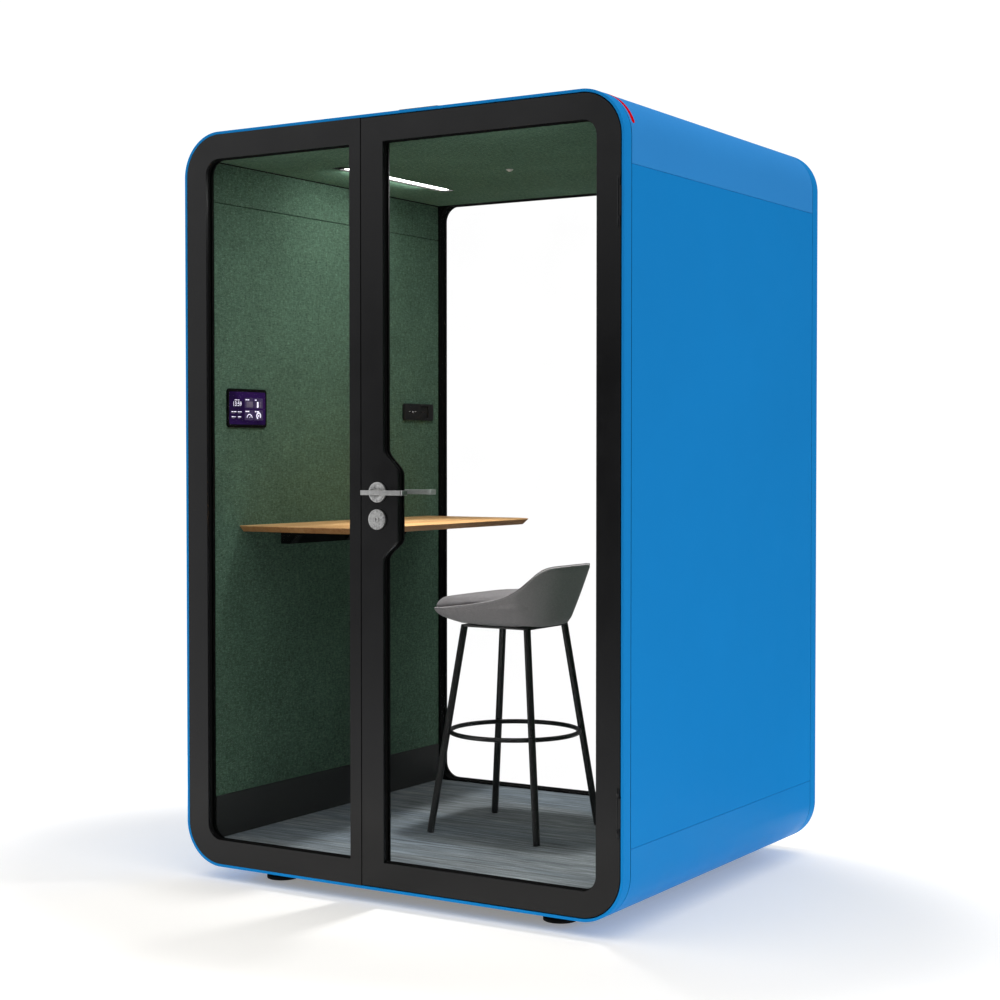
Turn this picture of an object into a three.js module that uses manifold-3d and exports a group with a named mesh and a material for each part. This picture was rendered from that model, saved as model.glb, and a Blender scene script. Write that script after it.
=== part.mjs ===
// Acoustic office pod for one person: a rounded sheet-metal shell on levelling
// feet, glazed at the back and front, with a hinged glass door, a felt lining,
// a wall desk, a ceiling light, a roof fan and a loose bar stool.
// Millimetres, +Z up. The front faces -Y, +X is to the right seen from the front.
import * as THREE from 'three';
import { mergeVertices } from 'three/addons/utils/BufferGeometryUtils.js';
import Module from 'manifold-3d';

const wasm = await Module();
wasm.setup();

// ---------------------------------------------------------------- dimensions
const W = 1500;            // shell width
const D = 1300;            // shell depth
const H = 2200;            // shell height
const CLEAR = 40;          // floor clearance under the shell
const R = 130;             // outer corner radius of the shell
const SKIN = 8;            // shell panel thickness, and the lip round the front
const RING = 40;           // depth of the front and rear rings
const MODULE = 200;        // corner modules run this far from the shell's corner
const SEAM = 0.4;          // half of a panel joint
const ARC = 10;            // steps in a quarter of the big corners

const F = -D / 2;          // front plane
const B = D / 2;           // rear plane
const XO = W / 2;          // shell half width
const XI = XO - SKIN;      // inside of the shell
const GAP = 0.3;           // assembly clearance

const FRAME_FRONT = F + 1;     // face of the black frames
const FRAME_BACK = F + 41;     // back of the black frames
const REBATE = F + 16;         // step that the glass sits against
const GLASS = 10;              // laminated glass
const LAND = 13.5;             // width of the glazing rebate
const MEET = -96;              // joint between fixed light and door
const HINGE_X = 733;           // door axis
const HINGE_Y = F + 1;         // in the plane of the door's face
const HINGE_Z = [300, 1900];
const FIXED = { x0: -668, x1: -136, z0: 80.5, z1: 2119.5, r: 48 };
const DOOR = { x0: -19.5, x1: 667, z0: 81.5, z1: 2119.5, r: 45 };
const BULGE = 50;              // the lock stile widens by this much
const REAR = { x0: -664.5, x1: 664.5, z0: 80, z1: 2120, r: 52 };

const LEVER_X = -36, LEVER_Z = 1133;   // lever spindle
const KEY_X = -37, KEY_Z = 1056;       // key cylinder
const ROSE_D = 58, ROSE_T = 8;
const LEVER_PROJ = 66;                 // lever projection from the shell front
const LOCK_Y = F + 21;                 // mid plane of the lock

const WALL_X = 675;        // felt faces
const FELT = 12;
const SKIRT_TOP = 200;
const FLOOR_Z = 72;        // carpet surface
const CEIL_Z = 2122;       // ceiling surface
const LINE_Y0 = F + 46.8;  // lining starts behind the jamb
const LINE_Y1 = B - 41.5;  // lining ends at the rear frame

const DESK = { x0: -674.6, x1: -220, y0: -490, y1: 548, r: 100, top: 1020.4, t: 19, knife: 18, edge: 2.5 };
const LIGHT = { x0: -458, x1: -408, y0: -310, y1: 310 };
const ROOF = { x: 275, y: 250, h: 60, t: 3 };
const FAN_R = 70;
const FOOT_X = 485, FOOT_Y = 520, FOOT_R = 48;
const STOOL_X = 22, STOOL_Y = -4;      // stool centre
const SEAT_Z = 714;                    // underside of the seat
const LEG = { cx: -4, cy: 5, x: 191, y: 187, top: 112.5, r: 11 };   // foot spacing on the carpet, and under the seat
const LEG_Z = SEAT_Z - GAP;
const STOOL_RING_R = 200.6, STOOL_RING_Z = 379;

// ------------------------------------------------------------------- helpers
const arc = (cx, cy, r, a0, a1, n) => Array.from({ length: n + 1 }, (_, i) => {
  const a = (a0 + (a1 - a0) * i / n) * Math.PI / 180;
  return [cx + r * Math.cos(a), cy + r * Math.sin(a)];
});

// rounded rectangle, counter-clockwise, with a radius for each corner
function rounded(x0, x1, y0, y1, { br = 0, tr = 0, tl = 0, bl = 0 } = {}, n = ARC) {
  const corner = (x, y, r, sx, sy, a) => r > 0
    ? arc(x - sx * r, y - sy * r, r, a, a + 90, Math.max(3, Math.round(n * Math.min(1, 0.35 + r / 130))))
    : [[x, y]];
  return [
    ...corner(x1, y0, br, 1, -1, -90),
    ...corner(x1, y1, tr, 1, 1, 0),
    ...corner(x0, y1, tl, -1, 1, 90),
    ...corner(x0, y0, bl, -1, -1, 180),
  ];
}
const all = (r) => ({ br: r, tr: r, tl: r, bl: r });

const toShape = (pts, holes = []) => {
  const s = new THREE.Shape(pts.map(([a, b]) => new THREE.Vector2(a, b)));
  s.holes = holes.map((h) => new THREE.Path(h.map(([a, b]) => new THREE.Vector2(a, b))));
  return s;
};
const extrude = (pts, d, holes) =>
  new THREE.ExtrudeGeometry(toShape(pts, holes), { depth: d, bevelEnabled: false, steps: 1, curveSegments: 1 });

// prisms along each axis: points are (x, z), (x, y) and (y, z)
function prismY(pts, y0, y1, holes) {
  return extrude(pts, y1 - y0, holes).rotateX(Math.PI / 2).translate(0, y1, 0);
}
function prismZ(pts, z0, z1, holes) {
  return extrude(pts, z1 - z0, holes).translate(0, 0, z0);
}
function prismX(pts, x0, x1, holes) {
  const m = new THREE.Matrix4().makeBasis(
    new THREE.Vector3(0, 1, 0), new THREE.Vector3(0, 0, 1), new THREE.Vector3(1, 0, 0));
  return extrude(pts, x1 - x0, holes).applyMatrix4(m).translate(x0, 0, 0);
}
const box = (x0, x1, y0, y1, z0, z1) =>
  new THREE.BoxGeometry(x1 - x0, y1 - y0, z1 - z0).translate((x0 + x1) / 2, (y0 + y1) / 2, (z0 + z1) / 2);
const cylY = (x, z, r, y0, y1, n = 24) =>
  new THREE.CylinderGeometry(r, r, y1 - y0, n).translate(x, (y0 + y1) / 2, z);
const cylZ = (x, y, r, z0, z1, n = 24) =>
  new THREE.CylinderGeometry(r, r, z1 - z0, n).rotateX(Math.PI / 2).translate(x, y, (z0 + z1) / 2);
const latheZ = (pts, n = 32) =>
  new THREE.LatheGeometry(pts.map(([r, z]) => new THREE.Vector2(r, z)), n).rotateX(Math.PI / 2);

function clean(g) {
  g.deleteAttribute('normal');
  g.deleteAttribute('uv');
  return mergeVertices(g, 1e-4);
}
function solid(g) {
  const c = clean(g);
  const m = new wasm.Mesh({
    numProp: 3,
    vertProperties: new Float32Array(c.attributes.position.array),
    triVerts: new Uint32Array(c.index.array),
  });
  return new wasm.Manifold(m);
}
function geometry(m) {
  const out = m.getMesh();
  const g = new THREE.BufferGeometry();
  g.setAttribute('position', new THREE.BufferAttribute(new Float32Array(out.vertProperties), 3));
  g.setIndex(new THREE.BufferAttribute(new Uint32Array(out.triVerts), 1));
  return g;
}
const join = (...gs) => gs.map(solid).reduce((a, b) => a.add(b));
const cut = (m, ...gs) => gs.map(solid).reduce((a, b) => a.subtract(b), m);

// ----------------------------------------------------------------- materials
const mat = (color, roughness, metalness = 0, extra = {}) =>
  new THREE.MeshStandardMaterial({ color, roughness, metalness, ...extra });
const BLUE = () => mat(0x187cbf, 0.45, 0.1);
const BLACK = () => mat(0x2c2d2e, 0.5, 0.2);
const CLEAR_GLASS = () => mat(0xeef5f2, 0.03, 0, { transparent: true, opacity: 0.18 });
const FELT_GREEN = () => mat(0x3f5a49, 0.95);
const STEEL = () => mat(0xb9b8b4, 0.32, 1);
const PLASTIC = () => mat(0x1b1c1d, 0.45);
const ZINC = () => mat(0x9c9c98, 0.45, 1);

const pod = new THREE.Group();
pod.position.set(0, LEVER_PROJ / 2, CLEAR);
const group = () => { const g = new THREE.Group(); pod.add(g); return g; };
function part(parent, name, shape, material) {
  const g = shape instanceof wasm.Manifold ? geometry(shape) : clean(shape);
  g.computeVertexNormals();
  const mesh = new THREE.Mesh(g, material);
  mesh.name = name;
  parent.add(mesh);
  return mesh;
}

// --------------------------------------------------------------------- shell
const shell = group();
const ringOuter = rounded(-XO, XO, 0, H, all(R));
const ringInner = rounded(-XI, XI, SKIN, H - SKIN, all(R - SKIN));
part(shell, 'front_ring', prismY(ringOuter, F, F + RING, [ringInner]), BLUE());
part(shell, 'rear_ring', prismY(ringOuter, B - RING, B, [ringInner]), BLUE());

const PANEL_Y0 = F + RING + 2 * SEAM, PANEL_Y1 = B - RING - 2 * SEAM;
part(shell, 'left_side_panel', box(-XO, -XI, PANEL_Y0, PANEL_Y1, MODULE + SEAM, H - MODULE - SEAM), BLUE());
part(shell, 'right_side_panel', box(XI, XO, PANEL_Y0, PANEL_Y1, MODULE + SEAM, H - MODULE - SEAM), BLUE());

// corner module: two short flats and the quarter bend between them
const cornerRight = (top) => {
  const cz = top ? H - R : R, s = top ? 1 : -1, zEnd = top ? H - MODULE + SEAM : MODULE - SEAM;
  const xEnd = XO - MODULE + SEAM, zo = top ? H : 0;
  const outer = arc(XO - R, cz, R, 0, 90 * s, ARC);
  const inner = arc(XO - R, cz, R - SKIN, 90 * s, 0, ARC);
  return [[XO, zEnd], ...outer, [xEnd, zo], [xEnd, zo - s * SKIN], ...inner, [XI, zEnd]];
};
const mirror = (pts) => pts.map(([x, z]) => [-x, z]);
part(shell, 'right_top_corner', prismY(cornerRight(true), PANEL_Y0, PANEL_Y1), BLUE());
part(shell, 'left_top_corner', prismY(mirror(cornerRight(true)), PANEL_Y0, PANEL_Y1), BLUE());
part(shell, 'right_bottom_corner', prismY(cornerRight(false), PANEL_Y0, PANEL_Y1), BLUE());
part(shell, 'left_bottom_corner', prismY(mirror(cornerRight(false)), PANEL_Y0, PANEL_Y1), BLUE());

const ROOF_X = XO - MODULE - SEAM;
const roofPlan = [[-ROOF_X, PANEL_Y0], [ROOF_X, PANEL_Y0], [ROOF_X, PANEL_Y1], [-ROOF_X, PANEL_Y1]];
part(shell, 'roof_panel', prismZ(roofPlan, H - SKIN, H, [arc(0, 0, FAN_R + 1, 0, 345, 23).reverse()]), BLUE());

const studHoles = [[-1, -1], [1, -1], [1, 1], [-1, 1]].map(([sx, sy]) =>
  arc(sx * FOOT_X, sy * FOOT_Y, 8, 0, 330, 11).reverse());
part(shell, 'base_panel', prismZ(roofPlan, 0, SKIN, studHoles), BLACK());

// -------------------------------------------------------------- floor, lining
const lining = group();
const deckProfile = [[-612, SKIN + GAP], [612, SKIN + GAP], [671, 32], [671, 65.7], [-671, 65.7], [-671, 32]];
const deck = cut(solid(prismY(deckProfile, LINE_Y0, LINE_Y1)),
  ...[[-1, -1], [1, -1], [1, 1], [-1, 1]].map(([sx, sy]) => cylZ(sx * FOOT_X, sy * FOOT_Y, 8, 0, 46, 12)));
part(lining, 'floor_deck', deck, mat(0x6b5a45, 0.8));
part(lining, 'carpet', box(-672.5, 672.5, LINE_Y0, LINE_Y1, 66, FLOOR_Z), mat(0x6d757b, 0.95));

for (const [side, s] of [['left', -1], ['right', 1]]) {
  const span = (a, b) => (s > 0 ? [a, b] : [-b, -a]);
  const [c0, c1] = span(WALL_X + FELT + 1, XI - 1);
  part(lining, `${side}_wall_core`, box(c0, c1, -598, 598, MODULE + 6, H - MODULE - 6), mat(0x8d8a72, 0.95));
  // wall felt with the panel joint as a fine groove
  const [f0, f1] = span(WALL_X, WALL_X + FELT);
  const [g0, g1] = span(WALL_X - 1, WALL_X + 2.5);
  part(lining, `${side}_wall_felt`,
    cut(solid(box(f0, f1, LINE_Y0, LINE_Y1, SKIRT_TOP + GAP, CEIL_Z + FELT)),
      box(g0, g1, LINE_Y0 - 1, LINE_Y1 + 1, H - MODULE - 1.5, H - MODULE + 1.5)), FELT_GREEN());
  const [k0, k1] = span(WALL_X - 2, WALL_X + FELT);
  part(lining, `${side}_skirting`, box(k0, k1, LINE_Y0, LINE_Y1, 62, SKIRT_TOP), mat(0x1d1e1f, 0.6));
}
const ceilPlan = [[-672, LINE_Y0], [672, LINE_Y0], [672, LINE_Y1], [-672, LINE_Y1]];
const lightHole = [[LIGHT.x0 - GAP, LIGHT.y0 - GAP], [LIGHT.x0 - GAP, LIGHT.y1 + GAP],
  [LIGHT.x1 + GAP, LIGHT.y1 + GAP], [LIGHT.x1 + GAP, LIGHT.y0 - GAP]];
part(lining, 'ceiling_felt', prismZ(ceilPlan, CEIL_Z, CEIL_Z + FELT, [lightHole]), FELT_GREEN());

// --------------------------------------------------------------- rear glazing
const rear = group();
const grow = (o, d) => rounded(o.x0 - d, o.x1 + d, o.z0 - d, o.z1 + d, all(o.r + d));
const frameOuter = rounded(-XI + GAP, XI - GAP, SKIN + GAP, H - SKIN - GAP, all(R - SKIN - GAP));
const RB0 = B - 41, RB1 = B - 17, RB2 = B - 1;
part(rear, 'rear_frame', cut(solid(prismY(frameOuter, RB0, RB2, [grow(REAR, 0)])),
  prismY(grow(REAR, LAND), RB0 - 5, RB1)), BLACK());
part(rear, 'rear_glass', prismY(grow(REAR, LAND - 1), RB1 - GAP - GLASS, RB1 - GAP), CLEAR_GLASS());
part(rear, 'rear_bead',
  prismY(grow(REAR, LAND - GAP), RB0, RB1 - 2 * GAP - GLASS, [grow(REAR, 0)]), PLASTIC());

// -------------------------------------------------------------- front glazing
const front = group();
// steel jamb behind the frames, with the bar that the door closes against
part(front, 'front_jamb', cut(solid(prismY(frameOuter, F + 42, F + 46)),
  prismY(rounded(-690, -133, 64, 2130, { tl: 40, bl: 40 }), F + 40, F + 48),
  prismY(rounded(-76, 690, 64, 2130, { tr: 40, br: 40 }), F + 40, F + 48)), BLACK());

const fixedOuter = rounded(-XI + GAP, MEET - 1.5, SKIN + GAP, H - SKIN - GAP,
  { tl: R - SKIN - GAP, bl: R - SKIN - GAP });
const fixedHole = (d) => rounded(FIXED.x0 - d, FIXED.x1 + d, FIXED.z0 - d, FIXED.z1 + d,
  { tl: FIXED.r + d, bl: FIXED.r + d, tr: 3, br: 3 });
const STRIKE = { z0: 1024, z1: 1165 };
part(front, 'fixed_frame', cut(solid(prismY(fixedOuter, FRAME_FRONT, FRAME_BACK + 0.7, [fixedHole(0)])),
  prismY(fixedHole(LAND), REBATE, FRAME_BACK + 5),
  box(MEET - 4.5, MEET, LOCK_Y - 12, LOCK_Y + 12, STRIKE.z0, STRIKE.z1),
  box(MEET - 16, MEET, LOCK_Y - 8, LOCK_Y + 8, LEVER_Z - 11, LEVER_Z + 11),
  box(MEET - 18, MEET, LOCK_Y - 8, LOCK_Y + 8, KEY_Z - 12, KEY_Z + 12)), BLACK());
part(front, 'fixed_glass', prismY(fixedHole(LAND - 1), REBATE + GAP, REBATE + GAP + GLASS), CLEAR_GLASS());
part(front, 'fixed_bead', prismY(fixedHole(LAND - GAP), REBATE + 2 * GAP + GLASS, FRAME_BACK,
  [fixedHole(0)]), PLASTIC());
part(front, 'strike_plate', cut(
  solid(box(MEET - 4.2, MEET - 1.5, LOCK_Y - 11.7, LOCK_Y + 11.7, STRIKE.z0 + GAP, STRIKE.z1 - GAP)),
  box(MEET - 6, MEET, LOCK_Y - 7.5, LOCK_Y + 7.5, LEVER_Z - 10.5, LEVER_Z + 10.5),
  box(MEET - 6, MEET, LOCK_Y - 7.5, LOCK_Y + 7.5, KEY_Z - 11.5, KEY_Z + 11.5)), STEEL());

// ---------------------------------------------------------------------- door
const door = group();
const doorOuter = rounded(MEET + 1.5, XI - 3, SKIN + 3, H - SKIN - 3, { tr: R - SKIN - 3, br: R - SKIN - 3 });
// opening with the widened lock stile on its left edge
function doorHole(d) {
  const ramp = (z0, z1, up) => Array.from({ length: 8 }, (_, i) => {
    const t = i / 7, k = 0.5 - 0.5 * Math.cos(Math.PI * t);
    return [DOOR.x0 - d + BULGE * (up ? 1 - k : k), z0 + (z1 - z0) * t];
  });
  const rest = rounded(DOOR.x0 - d, DOOR.x1 + d, DOOR.z0 - d, DOOR.z1 + d,
    { tr: DOOR.r + d, br: DOOR.r + d, tl: 3, bl: 3 });
  // the left edge runs downwards, from the top corner to the bottom corner
  const i = rest.findIndex(([x, z], k) => k > 4 && x < DOOR.x0 - d + 0.01 && z < H / 2);
  const edge = [...ramp(940, 1004, false), ...ramp(1182, 1256, true)].reverse();
  return [...rest.slice(0, i), ...edge, ...rest.slice(i)];
}
const POCKET = { x1: 4, z0: 1005, z1: 1195, y0: LOCK_Y - 9.5, y1: LOCK_Y + 9.5 };
const hingeCuts = HINGE_Z.flatMap((z) => [
  box(HINGE_X, XI, F - 1, HINGE_Y + 3.2, z - 42, z + 42),
  cylZ(HINGE_X, HINGE_Y, 5, z - 42, z + 42, 24),
  cylZ(HINGE_X, HINGE_Y, 2.6, z - 70, z + 70, 12)]);
// eyes on the door above and below each fixed knuckle
const hingeEyes = HINGE_Z.flatMap((z) => [
  cylZ(HINGE_X, HINGE_Y, 4.4, z + 42, z + 64, 20), cylZ(HINGE_X, HINGE_Y, 4.4, z - 64, z - 42, 20)]);
part(door, 'door_frame', cut(join(prismY(doorOuter, FRAME_FRONT, FRAME_BACK, [doorHole(0)]), ...hingeEyes),
  prismY(doorHole(LAND), REBATE, FRAME_BACK + 5),
  box(MEET - 1, POCKET.x1, POCKET.y0, POCKET.y1, POCKET.z0, POCKET.z1),
  cylY(LEVER_X, LEVER_Z, 11, F - 1, F + 43, 16), cylY(KEY_X, KEY_Z, 12, F - 1, F + 43, 16),
  ...hingeCuts), BLACK());
part(door, 'door_glass', prismY(doorHole(LAND - 1), REBATE + GAP, REBATE + GAP + GLASS), CLEAR_GLASS());
part(door, 'door_bead', prismY(doorHole(LAND - GAP), REBATE + 2 * GAP + GLASS, FRAME_BACK,
  [doorHole(0)]), PLASTIC());

['lower', 'upper'].forEach((n, i) => {
  const z = HINGE_Z[i];
  // fixed knuckle with its leaf on the ring, and the pin through door and knuckle
  part(front, `hinge_${n}`, cut(join(
    cylZ(HINGE_X, HINGE_Y, 4.4, z - 41.5, z + 41.5, 20),
    box(HINGE_X + 1.5, XI - GAP, HINGE_Y - 2, HINGE_Y + 2.6, z - 40, z + 40),
    box(XI - 2.5, XI - GAP, HINGE_Y, F + 38, z - 40, z + 40)),
    cylZ(HINGE_X, HINGE_Y, 2.4, z - 45, z + 45, 12)), PLASTIC());
  part(front, `hinge_pin_${n}`, cylZ(HINGE_X, HINGE_Y, 2.05, z - 63, z + 63, 12), STEEL());
});

// ---------------------------------------------------------------------- lock
const lock = group();
part(lock, 'lock_case', cut(
  solid(box(MEET + 1.6, POCKET.x1 - 0.4, POCKET.y0 + 0.4, POCKET.y1 - 0.4, POCKET.z0 + 0.4, POCKET.z1 - 0.4)),
  cylY(LEVER_X, LEVER_Z, 8, F, F + 42, 16), cylY(KEY_X, KEY_Z, 11.5, F, F + 42),
  box(MEET, -50.5, LOCK_Y - 6, LOCK_Y + 6, LEVER_Z - 8, LEVER_Z + 8),
  box(MEET, -51, LOCK_Y - 6, LOCK_Y + 6, KEY_Z - 9, KEY_Z + 9)), ZINC());
// spring latch with its sloping nose, and the square dead bolt
part(lock, 'latch_bolt', prismZ(
  [[-68, LOCK_Y - 5.5], [-68, LOCK_Y + 5.5], [-98, LOCK_Y + 5.5], [-107, LOCK_Y - 2], [-107, LOCK_Y - 5.5]],
  LEVER_Z - 7.5, LEVER_Z + 7.5), STEEL());
part(lock, 'dead_bolt', box(-94, -66, LOCK_Y - 5.5, LOCK_Y + 5.5, KEY_Z - 8.5, KEY_Z + 8.5), STEEL());

const roseProfile = (r0) => [[r0, 0], [ROSE_D / 2, 0], [ROSE_D / 2, ROSE_T - 1.5], [ROSE_D / 2 - 1.5, ROSE_T],
  [r0, ROSE_T], [r0, 0]];
// discs turn about Y and stand out towards -Y
const discY = (pts, x, z, y, n = 28) =>
  new THREE.LatheGeometry(pts.map(([r, t]) => new THREE.Vector2(r, t)), n).rotateX(Math.PI).translate(x, y, z);
part(lock, 'outer_rose', discY(roseProfile(11), LEVER_X, LEVER_Z, FRAME_FRONT - GAP), STEEL());
// key cylinder: escutcheon disc, plug and the barrel that goes into the lock
part(lock, 'key_cylinder', cut(join(
  discY([[0, -20], [10.5, -20], [10.5, 0], [ROSE_D / 2, 0], [ROSE_D / 2, ROSE_T - 1.5], [ROSE_D / 2 - 1.5, ROSE_T], [0, ROSE_T]],
    KEY_X, KEY_Z, FRAME_FRONT - GAP),
  cylY(KEY_X, KEY_Z, 8.5, FRAME_FRONT - GAP - ROSE_T - 2, FRAME_FRONT - 3)),
  box(KEY_X - 1.1, KEY_X + 1.1, F - 12, F - 4, KEY_Z - 5, KEY_Z + 5)), STEEL());

const stadium = (x, z0, z1, r) => [...arc(x, z1, r, 0, 180, 10), ...arc(x, z0, r, 180, 360, 10)];
part(lock, 'inner_plate', prismY(stadium(LEVER_X - 0.5, KEY_Z, LEVER_Z, 28), FRAME_BACK + GAP, FRAME_BACK + GAP + 7,
  [arc(LEVER_X, LEVER_Z, 11, 0, 337.5, 15).reverse(), arc(KEY_X, KEY_Z, 8, 0, 337.5, 15).reverse()]), STEEL());

const LEVER_Y = F - LEVER_PROJ;
// bar with a returned end: y0 is its outer face, y1 the inner face, and y2 how far the end turns back
function leverBar(x1, y0, y1, y2) {
  const s = Math.sign(y1 - y0), xi = x1 - 12.5;
  const bend = arc(0, 0, 5, 0, 90, 4).reverse().map(([a, b]) => [x1 - 5 + a, y0 + s * 5 - s * b]);
  const pts = [[-50, y0], ...bend, [x1, y2], [xi, y2], [xi, y1], [-50, y1]];
  return prismZ(s > 0 ? pts : pts.reverse(), LEVER_Z - 6.75, LEVER_Z + 6.75);
}
part(lock, 'outer_lever', join(
  leverBar(90.5, LEVER_Y, LEVER_Y + 11, LEVER_Y + 29),
  cylY(LEVER_X, LEVER_Z, 6.4, LEVER_Y + 5, LEVER_Y + 30, 18), cylY(LEVER_X, LEVER_Z, 9.5, LEVER_Y + 26, FRAME_FRONT - 1, 18),
  box(LEVER_X - 4, LEVER_X + 4, FRAME_FRONT - 3, FRAME_BACK + 40, LEVER_Z - 4, LEVER_Z + 4)), STEEL());
const INNER_Y = FRAME_BACK + 1;
part(lock, 'inner_lever', cut(join(
  leverBar(90.5, INNER_Y + 66, INNER_Y + 55, INNER_Y + 37),
  cylY(LEVER_X, LEVER_Z, 6.4, INNER_Y + 44, INNER_Y + 62, 18), cylY(LEVER_X, LEVER_Z, 9.5, INNER_Y, INNER_Y + 46, 18)),
  box(LEVER_X - 4.4, LEVER_X + 4.4, FRAME_BACK, FRAME_BACK + 42, LEVER_Z - 4.4, LEVER_Z + 4.4)), STEEL());
part(lock, 'thumb_turn', join(
  cylY(KEY_X, KEY_Z, 6.5, F + 25, FRAME_BACK + 14, 16),
  prismY(rounded(KEY_X - 5, KEY_X + 5, KEY_Z - 17, KEY_Z + 17, all(4.9), 6), FRAME_BACK + 12, FRAME_BACK + 30)), STEEL());

// ---------------------------------------------------------------------- desk
const fit = group();
const deskZ0 = DESK.top - DESK.t, eTop = DESK.top - DESK.edge;
const deskPlan = (d) => rounded(DESK.x0, DESK.x1 - d, DESK.y0 + d, DESK.y1 - d, { br: DESK.r - d, tr: DESK.r - d });
const deskOuter = deskPlan(0), deskInner = deskPlan(DESK.knife);
// board with a thin edge, undercut all round except at the wall
const board = new THREE.ExtrudeGeometry(toShape(deskOuter), { depth: DESK.t, bevelEnabled: false, steps: 2, curveSegments: 1 })
  .translate(0, 0, deskZ0);
const boardPos = board.attributes.position;
for (let i = 0; i < boardPos.count; i++) {
  const x = boardPos.getX(i), y = boardPos.getY(i), z = boardPos.getZ(i);
  if (z > DESK.top - 1) continue;
  if (z > deskZ0 + 1) boardPos.setZ(i, eTop);
  else boardPos.setXY(i, ...deskInner[deskOuter.findIndex(([a, b]) => Math.hypot(a - x, b - y) < 0.01)]);
}
part(fit, 'desk_top', board, mat(0xd9a569, 0.5));
// folded steel bracket: wall rail and three tapering arms
const armProfile = [[-674.5, 956], [-640, 956], [-612, 986], [-420, 991], [-420, deskZ0 - GAP], [-674.5, deskZ0 - GAP]];
part(fit, 'desk_bracket', join(
  box(-674.6, -640, -288, 340, 956, deskZ0 - GAP),
  ...[-288, 8, 304].map((y) => prismY(armProfile, y, y + 36))), BLACK());

// --------------------------------------------------------------- electrics
const elec = group();
const PANEL = { y0: -551, y1: -364, z0: 1322, z1: 1441, r: 11 };
const panelOutline = rounded(PANEL.y0, PANEL.y1, PANEL.z0, PANEL.z1, all(PANEL.r), 10);
part(elec, 'control_panel', cut(solid(prismX(panelOutline, -674.7, -668.7)),
  prismX(rounded(PANEL.y0 + 7, PANEL.y1 - 7, PANEL.z0 + 9, PANEL.z1 - 9, all(5), 10), -671.7, -660)), PLASTIC());
part(elec, 'control_screen', prismX(rounded(PANEL.y0 + 7.4, PANEL.y1 - 7.4, PANEL.z0 + 9.4, PANEL.z1 - 9.4, all(4.6), 10),
  -671.4, -669.1), mat(0x2a1c4a, 0.1));
const SOCKET = { y0: 384, y1: 563, z0: 1358, z1: 1415 };
part(elec, 'power_socket', cut(solid(prismX(rounded(SOCKET.y0, SOCKET.y1, SOCKET.z0, SOCKET.z1, all(7), 8), -674.7, -665)),
  prismX(rounded(480, 530, 1364, 1409, all(6), 8), -670, -660),
  prismX(rounded(445, 458, 1383, 1390, all(1), 3), -671, -660),
  prismX(rounded(410, 423, 1383, 1390, all(1), 3), -671, -660)), PLASTIC());

part(elec, 'light_channel', cut(
  solid(box(LIGHT.x0, LIGHT.x1, LIGHT.y0, LIGHT.y1, CEIL_Z + GAP, CEIL_Z + 26)),
  box(LIGHT.x0 + 2, LIGHT.x1 - 2, LIGHT.y0 + 2, LIGHT.y1 - 2, CEIL_Z - 1, CEIL_Z + 23.5)), mat(0xd8d8d6, 0.35, 0.8));
part(elec, 'light_diffuser', box(LIGHT.x0 + 2.4, LIGHT.x1 - 2.4, LIGHT.y0 + 2.4, LIGHT.y1 - 2.4, CEIL_Z + 5, CEIL_Z + 9),
  mat(0xffffff, 0.4, 0, { emissive: 0xffffff, emissiveIntensity: 1 }));
part(elec, 'motion_sensor', latheZ([[0, CEIL_Z - 7], [7, CEIL_Z - 4.5], [11, CEIL_Z - 2], [11, CEIL_Z - GAP], [0, CEIL_Z - GAP]], 16),
  mat(0xe8e8e6, 0.4));

// ---------------------------------------------------------------- roof unit
const roof = group();
const SNOUT = { x0: -153, x1: -5, y0: -390 };   // air outlet towards the front
const ventSlots = [];
for (let i = -1; i <= 1; i++) {
  for (const [y0, y1] of i > 0 ? [[-ROOF.y - 5, -ROOF.y + 5], [ROOF.y - 5, ROOF.y + 5]] : [[ROOF.y - 5, ROOF.y + 5]]) {
    ventSlots.push(box(i * 150 - 65, i * 150 + 65, y0, y1, H + 20, H + 28), box(i * 150 - 65, i * 150 + 65, y0, y1, H + 36, H + 44));
  }
}
for (const z of [20, 36]) ventSlots.push(box(SNOUT.x0 + 14, SNOUT.x1 - 14, SNOUT.y0 - 5, SNOUT.y0 + 5, H + z, H + z + 8));
part(roof, 'roof_vent', cut(join(
  prismZ(rounded(-ROOF.x, ROOF.x, -ROOF.y, ROOF.y, all(18), 6), H + GAP, H + ROOF.h),
  prismZ(rounded(SNOUT.x0, SNOUT.x1, SNOUT.y0, -ROOF.y + 20, { bl: 10, br: 10 }, 6), H + GAP, H + ROOF.h)),
  box(-ROOF.x + ROOF.t, ROOF.x - ROOF.t, -ROOF.y + ROOF.t, ROOF.y - ROOF.t, H - 5, H + ROOF.h - ROOF.t),
  box(SNOUT.x0 + ROOF.t, SNOUT.x1 - ROOF.t, SNOUT.y0 + ROOF.t, -ROOF.y + 10, H - 5, H + ROOF.h - ROOF.t),
  ...ventSlots), BLACK());
part(roof, 'fan_housing', cut(join(
  prismZ(rounded(-80, 80, -80, 80, all(8), 8), H + GAP, H + 38, [arc(0, 0, FAN_R, 0, 345, 23).reverse()]),
  cylZ(0, 0, 20, H + GAP, H + 6), box(-76, 76, -3, 3, H + GAP, H + 5), box(-3, 3, -76, 76, H + GAP, H + 5)),
  cylZ(0, 0, 4.2, H - 5, H + 10, 12)), PLASTIC());
const blades = Array.from({ length: 7 }, (_, i) =>
  new THREE.BoxGeometry(46, 26, 2.4).rotateX(0.62).translate(41, 0, H + 22).rotateZ(i * 2 * Math.PI / 7));
part(roof, 'fan_rotor', join(
  cylZ(0, 0, 22, H + 7, H + 36, 20), cylZ(0, 0, 3.4, H + 1, H + 10, 12), ...blades), PLASTIC());

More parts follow.
